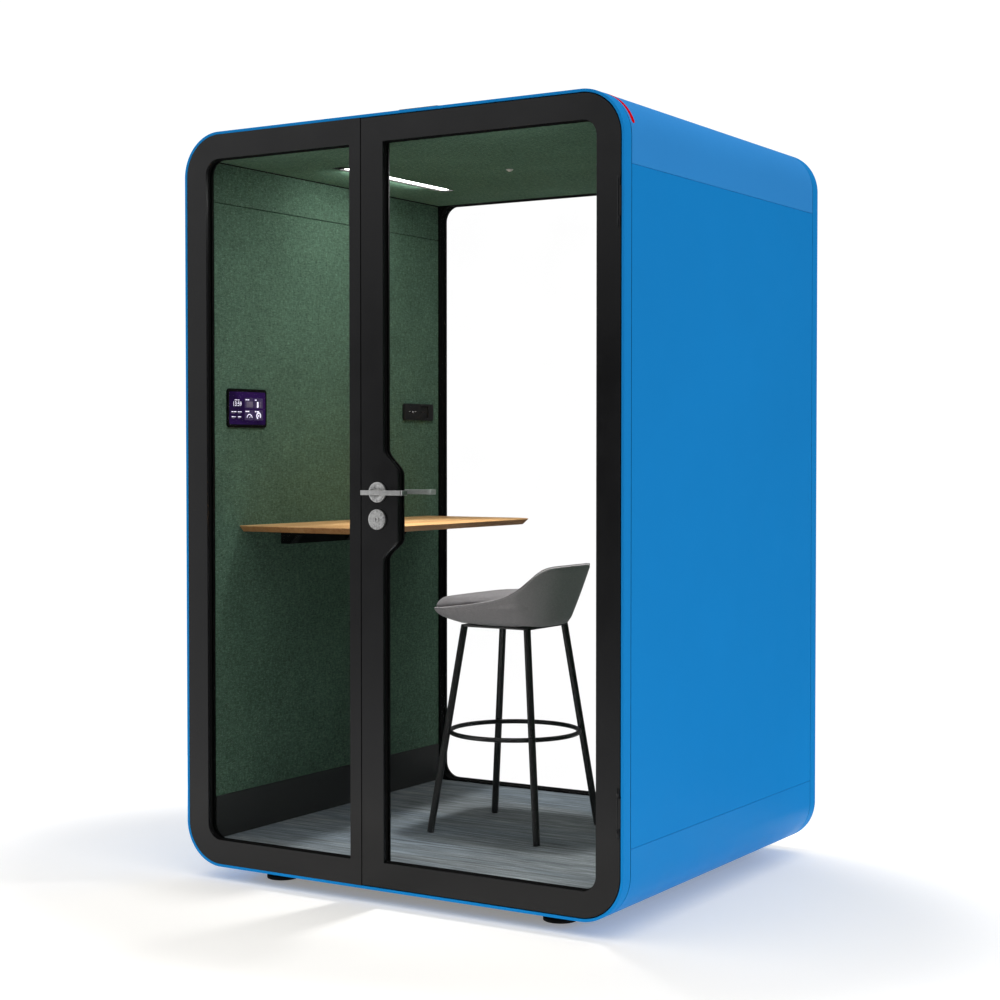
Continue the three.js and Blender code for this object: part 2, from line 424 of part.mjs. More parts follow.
// ---------------------------------------------------------------------- feet
const feet = group();
const footProfile = [[0, -CLEAR], [FOOT_R, -CLEAR], [FOOT_R, -CLEAR + 10], [FOOT_R - 4, -CLEAR + 13],
  [14, -CLEAR + 18], [14, -8], [6.5, -8], [6.5, 38], [0, 38]];
for (const [n, sx, sy] of [['front_left', -1, -1], ['front_right', 1, -1], ['rear_left', -1, 1], ['rear_right', 1, 1]]) {
  part(feet, `foot_${n}`, latheZ(footProfile, 20).translate(sx * FOOT_X, sy * FOOT_Y, 0), mat(0x202122, 0.7));
}

// --------------------------------------------------------------------- stool
const stool = new THREE.Group();
stool.position.set(STOOL_X, STOOL_Y, 0);
pod.add(stool);
const legs = [[-1, -1], [1, -1], [1, 1], [-1, 1]].map(([sx, sy]) => {
  const b = new THREE.Vector3(LEG.cx + sx * LEG.top, LEG.cy + sy * LEG.top, LEG_Z);
  const a = new THREE.Vector3(LEG.cx + sx * LEG.x, LEG.cy + sy * LEG.y, FLOOR_Z).sub(b).multiplyScalar(1.02).add(b);
  const dir = b.clone().sub(a);
  const g = new THREE.CylinderGeometry(LEG.r, LEG.r, dir.length(), 12);
  g.applyQuaternion(new THREE.Quaternion().setFromUnitVectors(new THREE.Vector3(0, 1, 0), dir.normalize()));
  return g.translate((a.x + b.x) / 2, (a.y + b.y) / 2, (a.z + b.z) / 2);
});
const ringSection = arc(STOOL_RING_R, STOOL_RING_Z, 7.2, 0, 360, 6);
const footRing = latheZ([...ringSection.slice(0, -1), ringSection[0]], 32).translate(LEG.cx, LEG.cy, 0);
part(stool, 'stool_frame', cut(join(...legs, footRing,
  prismZ(rounded(LEG.cx - 126, LEG.cx + 126, LEG.cy - 126, LEG.cy + 126, all(20), 8), LEG_Z - 6, LEG_Z)),
  box(-260, 260, -260, 260, 0, FLOOR_Z + GAP), box(-260, 260, -260, 260, LEG_Z, LEG_Z + 30)), mat(0x18191a, 0.5, 0.3));
// seat: a tapering bucket whose rim climbs from the front edge to the low back, with a pad in it
const RIM = [[-205, 766], [-150, 771], [-53, 784], [29, 798], [70, 809], [110, 826], [140, 849], [170, 880],
  [185, 896], [200, 902], [212.1, 903]];
const rimZ = (x) => {
  const i = Math.max(1, RIM.findIndex(([a]) => a >= x)), [x0, z0] = RIM[i - 1], [x1, z1] = RIM[i];
  return z0 + (z1 - z0) * (x - x0) / (x1 - x0);
};
const rimPlan = [...arc(90, -68, 122, -90, 0, 8), ...arc(90, 68, 122, 0, 90, 8), [70, 190], [29, 190], [-53, 190],
  ...arc(-145, 130, 60, 90, 180, 5), ...arc(-145, -130, 60, 180, 270, 5), [-53, -190], [29, -190], [70, -190]];
const bucket = prismZ(rimPlan, SEAT_Z, SEAT_Z + 100);
const rimPos = bucket.attributes.position;
for (let i = 0; i < rimPos.count; i++) {
  const x = rimPos.getX(i), y = rimPos.getY(i);
  if (rimPos.getZ(i) > SEAT_Z + 50) rimPos.setZ(i, rimZ(Math.max(x, -204.9)));
  else rimPos.setXY(i, x * 0.695 + 17.6, y * 0.684);
}
const PAD_Z = 800;
part(stool, 'stool_seat', cut(join(bucket,
  prismZ(rounded(-192, 150, -160, 160, { tl: 50, bl: 50, br: 80, tr: 80 }), 755, PAD_Z)),
  prismZ(rounded(-300, 168, -150, 150, { br: 90, tr: 90 }), PAD_Z, 950)), mat(0x5f6061, 0.95));

export default pod;
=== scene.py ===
import math

import bmesh
import bpy
import numpy as np
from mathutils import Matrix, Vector


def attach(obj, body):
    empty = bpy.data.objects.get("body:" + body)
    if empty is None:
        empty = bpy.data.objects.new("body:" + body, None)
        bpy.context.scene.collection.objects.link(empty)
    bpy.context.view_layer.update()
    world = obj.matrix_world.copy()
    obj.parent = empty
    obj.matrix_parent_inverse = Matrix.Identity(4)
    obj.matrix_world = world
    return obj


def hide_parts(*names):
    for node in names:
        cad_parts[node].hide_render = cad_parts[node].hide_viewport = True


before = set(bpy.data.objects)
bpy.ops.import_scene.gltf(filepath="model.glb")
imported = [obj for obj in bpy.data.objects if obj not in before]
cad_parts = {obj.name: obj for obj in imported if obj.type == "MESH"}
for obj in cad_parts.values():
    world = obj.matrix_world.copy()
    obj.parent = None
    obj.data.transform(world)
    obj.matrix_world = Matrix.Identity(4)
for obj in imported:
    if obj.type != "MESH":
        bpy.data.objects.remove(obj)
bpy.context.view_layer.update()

scene = bpy.context.scene
scene.view_settings.view_transform = "Standard"
scene.view_settings.look = "None"
scene.cycles.use_denoising = True
scene.cycles.transparent_max_bounces = 24


# =============================================================== geometry helpers
# All shapes are written in millimetres in the pod's own frame: x to the right seen
# from the front, y from the shell's centre to the back, z up from the shell's underside.
def P(x, y, z):
    return (x / 1000.0, (y + 33.0) / 1000.0, (z + 40.0) / 1000.0)


def arc(cx, cy, r, a0, a1, n):
    return [(cx + r * math.cos(math.radians(a0 + (a1 - a0) * i / n)),
             cy + r * math.sin(math.radians(a0 + (a1 - a0) * i / n))) for i in range(n + 1)]


def rrect(x0, x1, y0, y1, br, tr=None, tl=None, bl=None, n=24, left=None):
    """Rounded rectangle, counter-clockwise from the lower right corner. left gives extra points on its left edge."""
    tr = br if tr is None else tr
    tl = br if tl is None else tl
    bl = br if bl is None else bl
    q = [max(r, 0.02) for r in (br, tr, tl, bl)]
    pts = arc(x1 - q[0], y0 + q[0], q[0], -90, 0, n) + arc(x1 - q[1], y1 - q[1], q[1], 0, 90, n)
    pts += arc(x0 + q[2], y1 - q[2], q[2], 90, 180, n)
    pts += list(left or [])
    pts += arc(x0 + q[3], y0 + q[3], q[3], 180, 270, n)
    return pts


class Build:
    """Collects solids for one piece."""

    def __init__(self):
        self.v, self.f = [], []

    def add(self, shape):
        o = len(self.v)
        self.v += [tuple(p) for p in shape[0]]
        self.f += [tuple(i + o for i in f) for f in shape[1]]
        return self


def loft(loops, ring=False, caps=True):
    n, m = len(loops[0]), len(loops)
    v = [p for l in loops for p in l]
    f = []
    for i in range(m if ring else m - 1):
        a, b = i * n, ((i + 1) % m) * n
        f += [(a + j, a + (j + 1) % n, b + (j + 1) % n, b + j) for j in range(n)]
    if not ring and caps:
        f += [tuple(range(n - 1, -1, -1)), tuple((m - 1) * n + j for j in range(n))]
    return v, f


def at_y(pts, y):
    return [(x, y, z) for x, z in pts]


def at_z(pts, z):
    return [(x, y, z) for x, y in pts]


def at_x(pts, x):
    return [(x, y, z) for y, z in pts]


def band(outer, inner, y0, y1):
    """A strip of sheet: outer and inner are matching (x, z) paths."""
    n = len(outer)
    v = at_y(outer, y0) + at_y(inner, y0) + at_y(outer, y1) + at_y(inner, y1)
    f = []
    for i in range(n - 1):
        o0, i0, o1, i1 = i, n + i, 2 * n + i, 3 * n + i
        f += [(o0, o0 + 1, o1 + 1, o1), (i0, i1, i1 + 1, i0 + 1), (o0, i0, i0 + 1, o0 + 1), (o1, o1 + 1, i1 + 1, i1)]
    f += [(0, 2 * n, 3 * n, n), (n - 1, 2 * n - 1, 4 * n - 1, 3 * n - 1)]
    return v, f


def turn(profile, n, place):
    """Revolves (radius, height) pairs; place(radius, angle, height) gives the point."""
    loops = [[place(r, 2 * math.pi * j / n, h) for j in range(n)] for r, h in profile]
    return loft(loops)


def turn_z(profile, x, y, n=48):
    return turn(profile, n, lambda r, a, h: (x + r * math.cos(a), y + r * math.sin(a), h))


def turn_y(profile, x, z, n=48):
    return turn(profile, n, lambda r, a, h: (x + r * math.cos(a), h, z + r * math.sin(a)))


def slab(x0, x1, y0, y1, z0, z1, r=0.5, axis="z", n=6):
    if axis == "z":
        return loft([at_z(rrect(x0, x1, y0, y1, r, n=n), z) for z in (z0, z1)])
    if axis == "y":
        return loft([at_y(rrect(x0, x1, z0, z1, r, n=n), y) for y in (y0, y1)])
    return loft([at_x(rrect(y0, y1, z0, z1, r, n=n), x) for x in (x0, x1)])


def tube(path, r, n=20, closed=False, radii=None):
    """A round bar along a path of points."""
    p = [Vector(q) for q in path]
    m = len(p)
    loops, up = [], None
    for i in range(m):
        if closed:
            t = (p[(i + 1) % m] - p[i - 1]).normalized()
        else:
            t = (p[min(i + 1, m - 1)] - p[max(i - 1, 0)]).normalized()
        if up is None:
            up = Vector((0, 0, 1)) if abs(t.z) < 0.9 else Vector((1, 0, 0))
        side = t.cross(up).normalized()
        up = side.cross(t).normalized()
        rr = radii[i] if radii else r
        loops.append([tuple(p[i] + side * (rr * math.cos(2 * math.pi * j / n)) + up * (rr * math.sin(2 * math.pi * j / n)))
                      for j in range(n)])
    return loft(loops, ring=closed)


def piece(name, shape, mat, body="root", replaces=(), sharp=36, bevel=0.0, seg=3, angle=32):
    v, f = (shape.v, shape.f) if isinstance(shape, Build) else shape
    me = bpy.data.meshes.new(name)
    me.from_pydata([P(*q) for q in v], [], f)
    bm = bmesh.new()
    bm.from_mesh(me)
    bmesh.ops.remove_doubles(bm, verts=bm.verts, dist=2e-7)
    bmesh.ops.recalc_face_normals(bm, faces=bm.faces)
    bm.to_mesh(me)
    bm.free()
    ob = bpy.data.objects.new(name, me)
    scene.collection.objects.link(ob)
    me.materials.append(mat)
    dress(ob, sharp, bevel, seg, angle)
    if body:
        own(ob, body, replaces)
    return ob


def own(ob, body, replaces=()):
    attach(ob, body)
    if replaces:
        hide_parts(*replaces)
    return ob


def dress(ob, sharp, bevel=0.0, seg=3, angle=32):
    ob.data.shade_smooth()
    ob.data.set_sharp_from_angle(angle=math.radians(sharp))
    if bevel:
        b = ob.modifiers.new("edge", "BEVEL")
        b.width, b.segments, b.limit_method = bevel / 1000.0, seg, "ANGLE"
        b.angle_limit, b.harden_normals = math.radians(angle), True
        b.miter_outer = "MITER_ARC"


def settle(ob):
    """Applies the modifiers."""
    bpy.context.view_layer.update()
    dg = bpy.context.evaluated_depsgraph_get()
    me = bpy.data.meshes.new_from_object(ob.evaluated_get(dg), preserve_all_data_layers=True, depsgraph=dg)
    old = ob.data
    ob.modifiers.clear()
    ob.data = me
    bpy.data.meshes.remove(old)
    return ob


def carve(ob, *shapes):
    """Cuts solids out of a piece."""
    for s in shapes:
        tool = piece("carve_tool", s, ob.data.materials[0], body=None)
        m = ob.modifiers.new("carve", "BOOLEAN")
        m.operation, m.solver, m.object = "DIFFERENCE", "EXACT", tool
        settle(ob)
        bpy.data.objects.remove(tool, do_unlink=True)
    return ob


def cad(node, mat, bevel=0.0, seg=2):
    """A CAD node that stays, with its own finish and eased edges."""
    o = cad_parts[node]
    me = o.data
    for a in ("custom_normal",):
        if a in me.attributes:
            me.attributes.remove(me.attributes[a])
    me.materials.clear()
    me.materials.append(mat)
    me.polygons.foreach_set("material_index", [0] * len(me.polygons))
    if bevel:
        me.shade_smooth()
        w = o.modifiers.new("weld", "WELD")
        w.merge_threshold = 2e-6
        b = o.modifiers.new("edge", "BEVEL")
        b.width, b.segments, b.limit_method = bevel / 1000.0, seg, "ANGLE"
        b.angle_limit, b.harden_normals = math.radians(32), True
    else:
        me.shade_flat()
    return o


# ================================================================ material helpers
def lin(r, g, b):
    f = lambda c: (c / 12.92 if c <= 0.04045 else ((c + 0.055) / 1.055) ** 2.4)
    return tuple(f(c / 255.0) for c in (r, g, b)) + (1.0,)


def scaled(c, k):
    return tuple(min(1.0, max(0.0, x * k)) for x in c[:3]) + (1.0,)


def fresh(name):
    m = bpy.data.materials.new(name)
    m.use_nodes = True
    nt = m.node_tree
    nt.nodes.clear()
    out = nt.nodes.new("ShaderNodeOutputMaterial")
    b = nt.nodes.new("ShaderNodeBsdfPrincipled")
    nt.links.new(b.outputs[0], out.inputs[0])
    return m, nt, b


def nd(nt, kind, ins=None, **props):
    n = nt.nodes.new(kind)
    for k, v in props.items():
        setattr(n, k, v)
    for k, v in (ins or {}).items():
        put(nt, n.inputs[k], v)
    return n


def put(nt, socket, v):
    if isinstance(v, bpy.types.NodeSocket):
        nt.links.new(v, socket)
    else:
        socket.default_value = v


def where(nt, scale=(1, 1, 1), turn=(0, 0, 0)):
    tc = nd(nt, "ShaderNodeTexCoord")
    return nd(nt, "ShaderNodeMapping", {"Vector": tc.outputs["Object"], "Scale": scale, "Rotation": turn}).outputs[0]


def noise(nt, vec, scale=1.0, detail=3.0, rough=0.55, warp=0.0):
    return nd(nt, "ShaderNodeTexNoise",
              {"Vector": vec, "Scale": scale, "Detail": detail, "Roughness": rough, "Distortion": warp}).outputs[0]


def span(nt, fac, a, b, lo=0.3, hi=0.7):
    return nd(nt, "ShaderNodeMapRange", {"Value": fac, "From Min": lo, "From Max": hi, "To Min": a, "To Max": b}).outputs[0]


def ramp(nt, fac, stops, smooth=False):
    r = nd(nt, "ShaderNodeValToRGB", {"Fac": fac})
    e = r.color_ramp.elements
    if smooth:
        r.color_ramp.interpolation = "EASE"
    while len(e) < len(stops):
        e.new(0.5)
    for i, (p, c) in enumerate(stops):
        e[i].position, e[i].color = p, c
    return r.outputs[0]


def maths(nt, op, a, b=0.0, clamp=False):
    n = nd(nt, "ShaderNodeMath", operation=op)
    n.use_clamp = clamp
    put(nt, n.inputs[0], a)
    put(nt, n.inputs[1], b)
    return n.outputs[0]


def blendc(nt, fac, a, b, kind="MIX"):
    n = nd(nt, "ShaderNodeMix", data_type="RGBA", blend_type=kind)
    put(nt, n.inputs[0], fac)
    put(nt, n.inputs[6], a)
    put(nt, n.inputs[7], b)
    return n.outputs[2]


def bump(nt, height, strength, mm):
    return nd(nt, "ShaderNodeBump", {"Height": height, "Strength": strength, "Distance": mm / 1000.0}).outputs[0]


def sets(b, **kw):
    for k, v in kw.items():
        b.inputs[k.replace("_", " ")].default_value = v


def links(nt, b, **kw):
    for k, v in kw.items():
        nt.links.new(v, b.inputs[k.replace("_", " ")])


def mat_paint(name, colour, var=0.05, rough=(0.34, 0.46), spec=0.3, grain=700, peel=0.10, metal=0.0):
    """Sprayed or powder-coated sheet: faint tone drift, orange peel, uneven gloss."""
    m, nt, b = fresh(name)
    w = where(nt)
    drift = noise(nt, w, 1.7, 3)
    speck = noise(nt, w, 260, 2)
    tone = maths(nt, "ADD", maths(nt, "MULTIPLY", drift, 0.7), maths(nt, "MULTIPLY", speck, 0.3))
    links(nt, b, Base_Color=ramp(nt, tone, [(0.3, scaled(colour, 1 - var)), (0.7, scaled(colour, 1 + var))]))
    links(nt, b, Roughness=span(nt, noise(nt, w, 9, 5), rough[0], rough[1]))
    links(nt, b, Normal=bump(nt, noise(nt, w, grain, 2), peel, 0.35))
    sets(b, Specular_IOR_Level=spec, Metallic=metal)
    return m


def mat_glass(name):
    """Laminated glass: almost clear face on, faintly green towards grazing angles, a breath of smear."""
    m, nt, b = fresh(name)
    w = where(nt)
    face = nd(nt, "ShaderNodeLayerWeight", {"Blend": 0.5}).outputs["Facing"]
    edge = maths(nt, "POWER", face, 5.0)
    smear = noise(nt, w, 3.5, 5)
    links(nt, b, Alpha=maths(nt, "ADD", maths(nt, "MULTIPLY", edge, 0.45), span(nt, smear, 0.008, 0.018)))
    links(nt, b, Base_Color=ramp(nt, smear, [(0.3, (0.016, 0.026, 0.023, 1)), (0.7, (0.024, 0.038, 0.034, 1))]))
    links(nt, b, Roughness=span(nt, noise(nt, w, 22, 4), 0.015, 0.05))
    sets(b, Specular_IOR_Level=0.5, IOR=1.5)
    return m


def mat_rubber(name, v=0.012, rough=0.75):
    m, nt, b = fresh(name)
    w = where(nt)
    links(nt, b, Base_Color=ramp(nt, noise(nt, w, 60, 4), [(0.3, (v * 0.75,) * 3 + (1,)), (0.7, (v * 1.3,) * 3 + (1,))]))
    links(nt, b, Roughness=span(nt, noise(nt, w, 120, 3), rough - 0.08, rough + 0.08))
    links(nt, b, Normal=bump(nt, noise(nt, w, 1400, 2), 0.2, 0.2))
    sets(b, Specular_IOR_Level=0.08)
    return m


def mat_plastic(name, v=0.014, rough=0.42, tint=(1, 1, 1), grain=1500, spec=0.35):
    """Moulded plastic with a fine spark-eroded texture."""
    m, nt, b = fresh(name)
    w = where(nt)
    c = tuple(v * t for t in tint) + (1,)
    links(nt, b, Base_Color=ramp(nt, noise(nt, w, 40, 3), [(0.3, scaled(c, 0.88)), (0.7, scaled(c, 1.14))]))
    links(nt, b, Roughness=span(nt, noise(nt, w, 70, 4), rough - 0.06, rough + 0.07))
    links(nt, b, Normal=bump(nt, noise(nt, w, grain, 2), 0.14, 0.12))
    sets(b, Specular_IOR_Level=spec)
    return m


def mat_felt(name, colour):
    """Wool-look acoustic cloth: thick slubby yarn in two directions, flecks and a fine nap."""
    m, nt, b = fresh(name)
    fine = where(nt)
    yarn = [noise(nt, where(nt, k), 1.0, 3, 0.6) for k in ((260, 60, 330), (260, 240, 70))]
    slub = noise(nt, where(nt, (120, 95, 210)), 1.0, 2, 0.5)
    weave = maths(nt, "MULTIPLY", maths(nt, "ADD", yarn[0], yarn[1]), 0.5)
    fleck = noise(nt, fine, 620, 3, 0.7)
    cloud = noise(nt, fine, 5, 4)
    tone = maths(nt, "ADD", maths(nt, "ADD", maths(nt, "MULTIPLY", weave, 0.46), maths(nt, "MULTIPLY", slub, 0.26)),
                 maths(nt, "ADD", maths(nt, "MULTIPLY", fleck, 0.18), maths(nt, "MULTIPLY", cloud, 0.10)))
    links(nt, b, Base_Color=ramp(nt, tone, [(0.36, scaled(colour, 0.38)), (0.46, scaled(colour, 0.80)),
                                            (0.54, scaled(colour, 1.20)),
                                            (0.66, tuple(min(1, c * 1.95 + 0.01) for c in colour[:3]) + (1,))]))
    links(nt, b, Roughness=span(nt, fleck, 0.86, 0.99))
    h = maths(nt, "ADD", maths(nt, "MULTIPLY", weave, 1.0), maths(nt, "MULTIPLY", fleck, 0.5))
    links(nt, b, Normal=bump(nt, h, 0.5, 1.3))
    sets(b, Specular_IOR_Level=0.1, Sheen_Weight=0.08, Sheen_Roughness=0.5)
    b.inputs["Sheen Tint"].default_value = scaled(colour, 3.0)
    return m


def mat_carpet(name):
    """Flat-woven contract carpet: long streaks of blue-grey and warm grey yarn across the booth."""
    m, nt, b = fresh(name)
    broad = noise(nt, where(nt, (0.9, 5.0, 5.0)), 1.0, 3)
    streak = noise(nt, where(nt, (3.2, 70.0, 70.0)), 1.0, 4, 0.6, 0.1)
    line = noise(nt, where(nt, (9.0, 260.0, 260.0)), 1.0, 3, 0.6)
    loop = noise(nt, where(nt, (330, 420, 420)), 1.0, 2, 0.6)
    cool, warm = lin(127, 138, 146), lin(133, 140, 143)
    base = ramp(nt, broad, [(0.36, cool), (0.62, warm)], True)
    tone = maths(nt, "ADD", maths(nt, "MULTIPLY", streak, 0.5), maths(nt, "MULTIPLY", line, 0.5))
    shade = ramp(nt, tone, [(0.34, (0.34, 0.35, 0.37, 1)), (0.5, (0.88, 0.88, 0.88, 1)), (0.68, (2.0, 2.0, 2.0, 1))])
    col = blendc(nt, 1.0, base, shade, "MULTIPLY")
    col = blendc(nt, 1.0, col, ramp(nt, loop, [(0.3, (0.70, 0.70, 0.70, 1)), (0.7, (1.22, 1.22, 1.22, 1))]), "MULTIPLY")
    links(nt, b, Base_Color=col)
    links(nt, b, Roughness=span(nt, loop, 0.88, 0.99))
    links(nt, b, Normal=bump(nt, maths(nt, "ADD", loop, maths(nt, "MULTIPLY", line, 0.7)), 0.5, 1.0))
    sets(b, Specular_IOR_Level=0.1, Sheen_Weight=0.08)
    return m


def mat_wood(name):
    """Pale oak or bamboo board, grain along the length of the desk, satin lacquer."""
    m, nt, b = fresh(name)
    grain = noise(nt, where(nt, (75, 2.6, 75)), 1.0, 5, 0.62, 0.5)
    pore = noise(nt, where(nt, (420, 9, 420)), 1.0, 3, 0.7)
    stave = nd(nt, "ShaderNodeTexVoronoi", {"Vector": where(nt, (16.0, 0.9, 0.2)), "Scale": 1.0}).outputs["Color"]
    stv = nd(nt, "ShaderNodeRGBToBW", {"Color": stave}).outputs[0]
    tone = maths(nt, "ADD", maths(nt, "MULTIPLY", grain, 0.72), maths(nt, "MULTIPLY", stv, 0.28))
    col = ramp(nt, tone, [(0.26, lin(190, 134, 80)), (0.45, lin(219, 168, 110)), (0.6, lin(233, 186, 128)), (0.78, lin(243, 203, 149))])
    col = blendc(nt, 1.0, col, ramp(nt, pore, [(0.30, (0.74, 0.68, 0.60, 1)), (0.46, (1, 1, 1, 1))]), "MULTIPLY")
    # painted shade: the undercut edge and the underside are darkened in the colour by their downward true normal
    nz = nd(nt, "ShaderNodeSeparateXYZ", {"Vector": nd(nt, "ShaderNodeNewGeometry").outputs["True Normal"]}).outputs[2]
    col = blendc(nt, 1.0, col, ramp(nt, maths(nt, "ADD", maths(nt, "MULTIPLY", nz, 0.5), 0.5),
                                    [(0.02, (0.06, 0.05, 0.045, 1)), (0.10, (0.56, 0.47, 0.39, 1)), (0.36, (0.56, 0.47, 0.39, 1)), (0.5, (1, 1, 1, 1))]), "MULTIPLY")
    links(nt, b, Base_Color=col)
    links(nt, b, Roughness=span(nt, grain, 0.36, 0.5))
    links(nt, b, Normal=bump(nt, pore, 0.12, 0.3))
    sets(b, Specular_IOR_Level=0.35)
    return m


def mat_steel(name, colour=(0.60, 0.60, 0.59, 1), rough=(0.26, 0.42), scale=(60, 900, 900), metal=1.0, stain=0.0):
    """Satin stainless: fine brush lines and a mottled, slightly cloudy gloss."""
    m, nt, b = fresh(name)
    brush = noise(nt, where(nt, scale), 1.0, 3, 0.6)
    cloud = noise(nt, where(nt), 130, 4, 0.6)
    tone = maths(nt, "ADD", maths(nt, "MULTIPLY", brush, 0.5), maths(nt, "MULTIPLY", cloud, 0.5))
    col = ramp(nt, tone, [(0.3, scaled(colour, 0.74)), (0.7, scaled(colour, 1.15))])
    if stain:
        speck = noise(nt, where(nt), 150, 3, 0.65)
        col = blendc(nt, stain, col, ramp(nt, speck, [(0.36, (0.22, 0.22, 0.23, 1)), (0.47, (0.92, 0.92, 0.92, 1)), (0.62, (1.15, 1.15, 1.15, 1))]), "MULTIPLY")
    links(nt, b, Base_Color=col)
    links(nt, b, Roughness=span(nt, tone, rough[0], rough[1]))
    links(nt, b, Normal=bump(nt, brush, 0.08, 0.15))
    sets(b, Metallic=metal)
    return m


def mat_fabric(name, colour):
    """Grey upholstery weave: crossed yarns, melange flecks, soft sheen."""
    m, nt, b = fresh(name)
    w = where(nt)
    ya = noise(nt, where(nt, (520, 90, 520), (0, 0, 0.6)), 1.0, 3, 0.6)
    yb = noise(nt, where(nt, (90, 520, 520), (0, 0, 0.6)), 1.0, 3, 0.6)
    yc = noise(nt, where(nt, (520, 520, 80), (0, 0, 0.6)), 1.0, 3, 0.6)
    weave = maths(nt, "MULTIPLY", maths(nt, "ADD", maths(nt, "ADD", ya, yb), yc), 1 / 3.0)
    fleck = noise(nt, w, 800, 3, 0.7)
    tone = maths(nt, "ADD", maths(nt, "MULTIPLY", weave, 0.6), maths(nt, "MULTIPLY", fleck, 0.4))
    links(nt, b, Base_Color=ramp(nt, tone, [(0.36, scaled(colour, 0.62)), (0.5, colour), (0.64, scaled(colour, 1.5))]))
    links(nt, b, Roughness=span(nt, fleck, 0.82, 0.97))
    links(nt, b, Normal=bump(nt, tone, 0.4, 0.8))
    sets(b, Specular_IOR_Level=0.15, Sheen_Weight=0.25, Sheen_Roughness=0.45)
    return m


def mat_screen(name):
    """Display glass over a deep violet backdrop."""
    m, nt, b = fresh(name)
    w = where(nt)
    glow = noise(nt, where(nt, (1, 9, 14)), 1.0, 3)
    c = ramp(nt, glow, [(0.3, (0.010, 0.003, 0.030, 1)), (0.55, (0.020, 0.006, 0.060, 1)), (0.8, (0.034, 0.008, 0.060, 1))], True)
    links(nt, b, Base_Color=c)
    links(nt, b, Emission_Color=c)
    links(nt, b, Roughness=span(nt, noise(nt, w, 30, 4), 0.06, 0.14))
    sets(b, Emission_Strength=0.4, Specular_IOR_Level=0.1)
    return m


def mat_glow(name, colour, strength, var=0.06, scale=30, spec=0.3):
    m, nt, b = fresh(name)
    w = where(nt)
    c = ramp(nt, noise(nt, w, scale, 2), [(0.3, scaled(colour, 1 - var)), (0.7, colour)])
    links(nt, b, Base_Color=c)
    links(nt, b, Emission_Color=c)
    links(nt, b, Roughness=span(nt, noise(nt, w, 90, 3), 0.3, 0.45))
    sets(b, Emission_Strength=strength, Specular_IOR_Level=spec)
    return m


def mat_ply(name):
    m, nt, b = fresh(name)
    layer = nd(nt, "ShaderNodeTexWave", {"Vector": where(nt), "Scale": 45.0, "Distortion": 1.5, "Detail": 2.0},
               bands_direction="Z").outputs[1]
    chip = noise(nt, where(nt, (60, 8, 60)), 1.0, 4)
    col = ramp(nt, maths(nt, "ADD", maths(nt, "MULTIPLY", layer, 0.5), maths(nt, "MULTIPLY", chip, 0.5)),
               [(0.25, lin(96, 72, 46)), (0.75, lin(158, 126, 86))])
    links(nt, b, Base_Color=col)
    links(nt, b, Roughness=span(nt, chip, 0.7, 0.9))
    links(nt, b, Normal=bump(nt, chip, 0.2, 0.4))
    return m


def mat_wool(name):
    m, nt, b = fresh(name)
    f1 = noise(nt, where(nt, (30, 30, 260)), 1.0, 5, 0.7, 0.8)
    f2 = noise(nt, where(nt), 180, 4, 0.7)
    t = maths(nt, "ADD", maths(nt, "MULTIPLY", f1, 0.6), maths(nt, "MULTIPLY", f2, 0.4))
    links(nt, b, Base_Color=ramp(nt, t, [(0.3, lin(110, 104, 82)), (0.7, lin(170, 163, 136))]))
    links(nt, b, Roughness=span(nt, f2, 0.9, 1.0))
    links(nt, b, Normal=bump(nt, t, 0.6, 3.0))
    return m


BLUE = scaled(lin(23, 124, 192), 1.36)
M_BLUE = mat_paint("shell_blue", BLUE, 0.03, (0.40, 0.50), 0.015)
# painted light: the top bends and the roof take a lighter copy of the shell blue, standing in for the light that falls
# on the top
M_BLUE_TOP_LIT = mat_paint("shell_blue_bend_painted_light", scaled(lin(49, 131, 198), 1.36), 0.03, (0.34, 0.44), 0.015)
M_BLUE_LOW = mat_paint("shell_blue_foot", BLUE, 0.03, (0.34, 0.44), 0.03)
M_BLACK = mat_paint("frame_black", lin(17, 17, 18), 0.14, (0.20, 0.26), 0.30, 1100, 0.05)
# painted shade: the rear frame takes a darker copy of the frame black, standing in for shade on the cabin side
M_BLACK_SHADED = mat_paint("rear_black_painted_shade", lin(7, 7, 8), 0.14, (0.42, 0.52), 0.06, 1100, 0.05)
# black plastic, its colour pushed far below plain black plastic as painted shade for the beads and the desk bracket
M_BEAD = mat_plastic("bead_black_with_painted_shade", 0.003, 0.6, spec=0.05)
M_BASE = mat_paint("base_black", lin(30, 31, 32), 0.16, (0.5, 0.6), 0.25, 1100, 0.16)
M_VENT = mat_paint("vent_black", lin(34, 35, 36), 0.16, (0.48, 0.58), 0.25, 1100, 0.18)
M_GLASS = mat_glass("clear_glass")
M_GASKET = mat_rubber("gasket_black", 0.004)
M_FOOT = mat_rubber("foot_black", 0.012)
M_FELT = mat_felt("felt_green", lin(80, 106, 89))
# painted light: the ceiling takes its own lighter copy of the wall felt, its tone set by how light falls on the ceiling
M_FELT_TOP = mat_felt("felt_green_ceiling_painted_light", lin(88, 117, 98))
M_CARPET = mat_carpet("carpet_grey")
M_SKIRT = mat_paint("skirting_black", lin(57, 58, 58), 0.14, (0.5, 0.62), 0.12, 900, 0.12)
M_WOOD = mat_wood("desk_oak")
M_STEEL = mat_steel("steel_satin")
M_STEEL_Z = mat_steel("steel_pin", (0.55, 0.55, 0.54, 1), (0.25, 0.4), (900, 900, 60))
M_ROSE = mat_steel("steel_rose", stain=0.5)
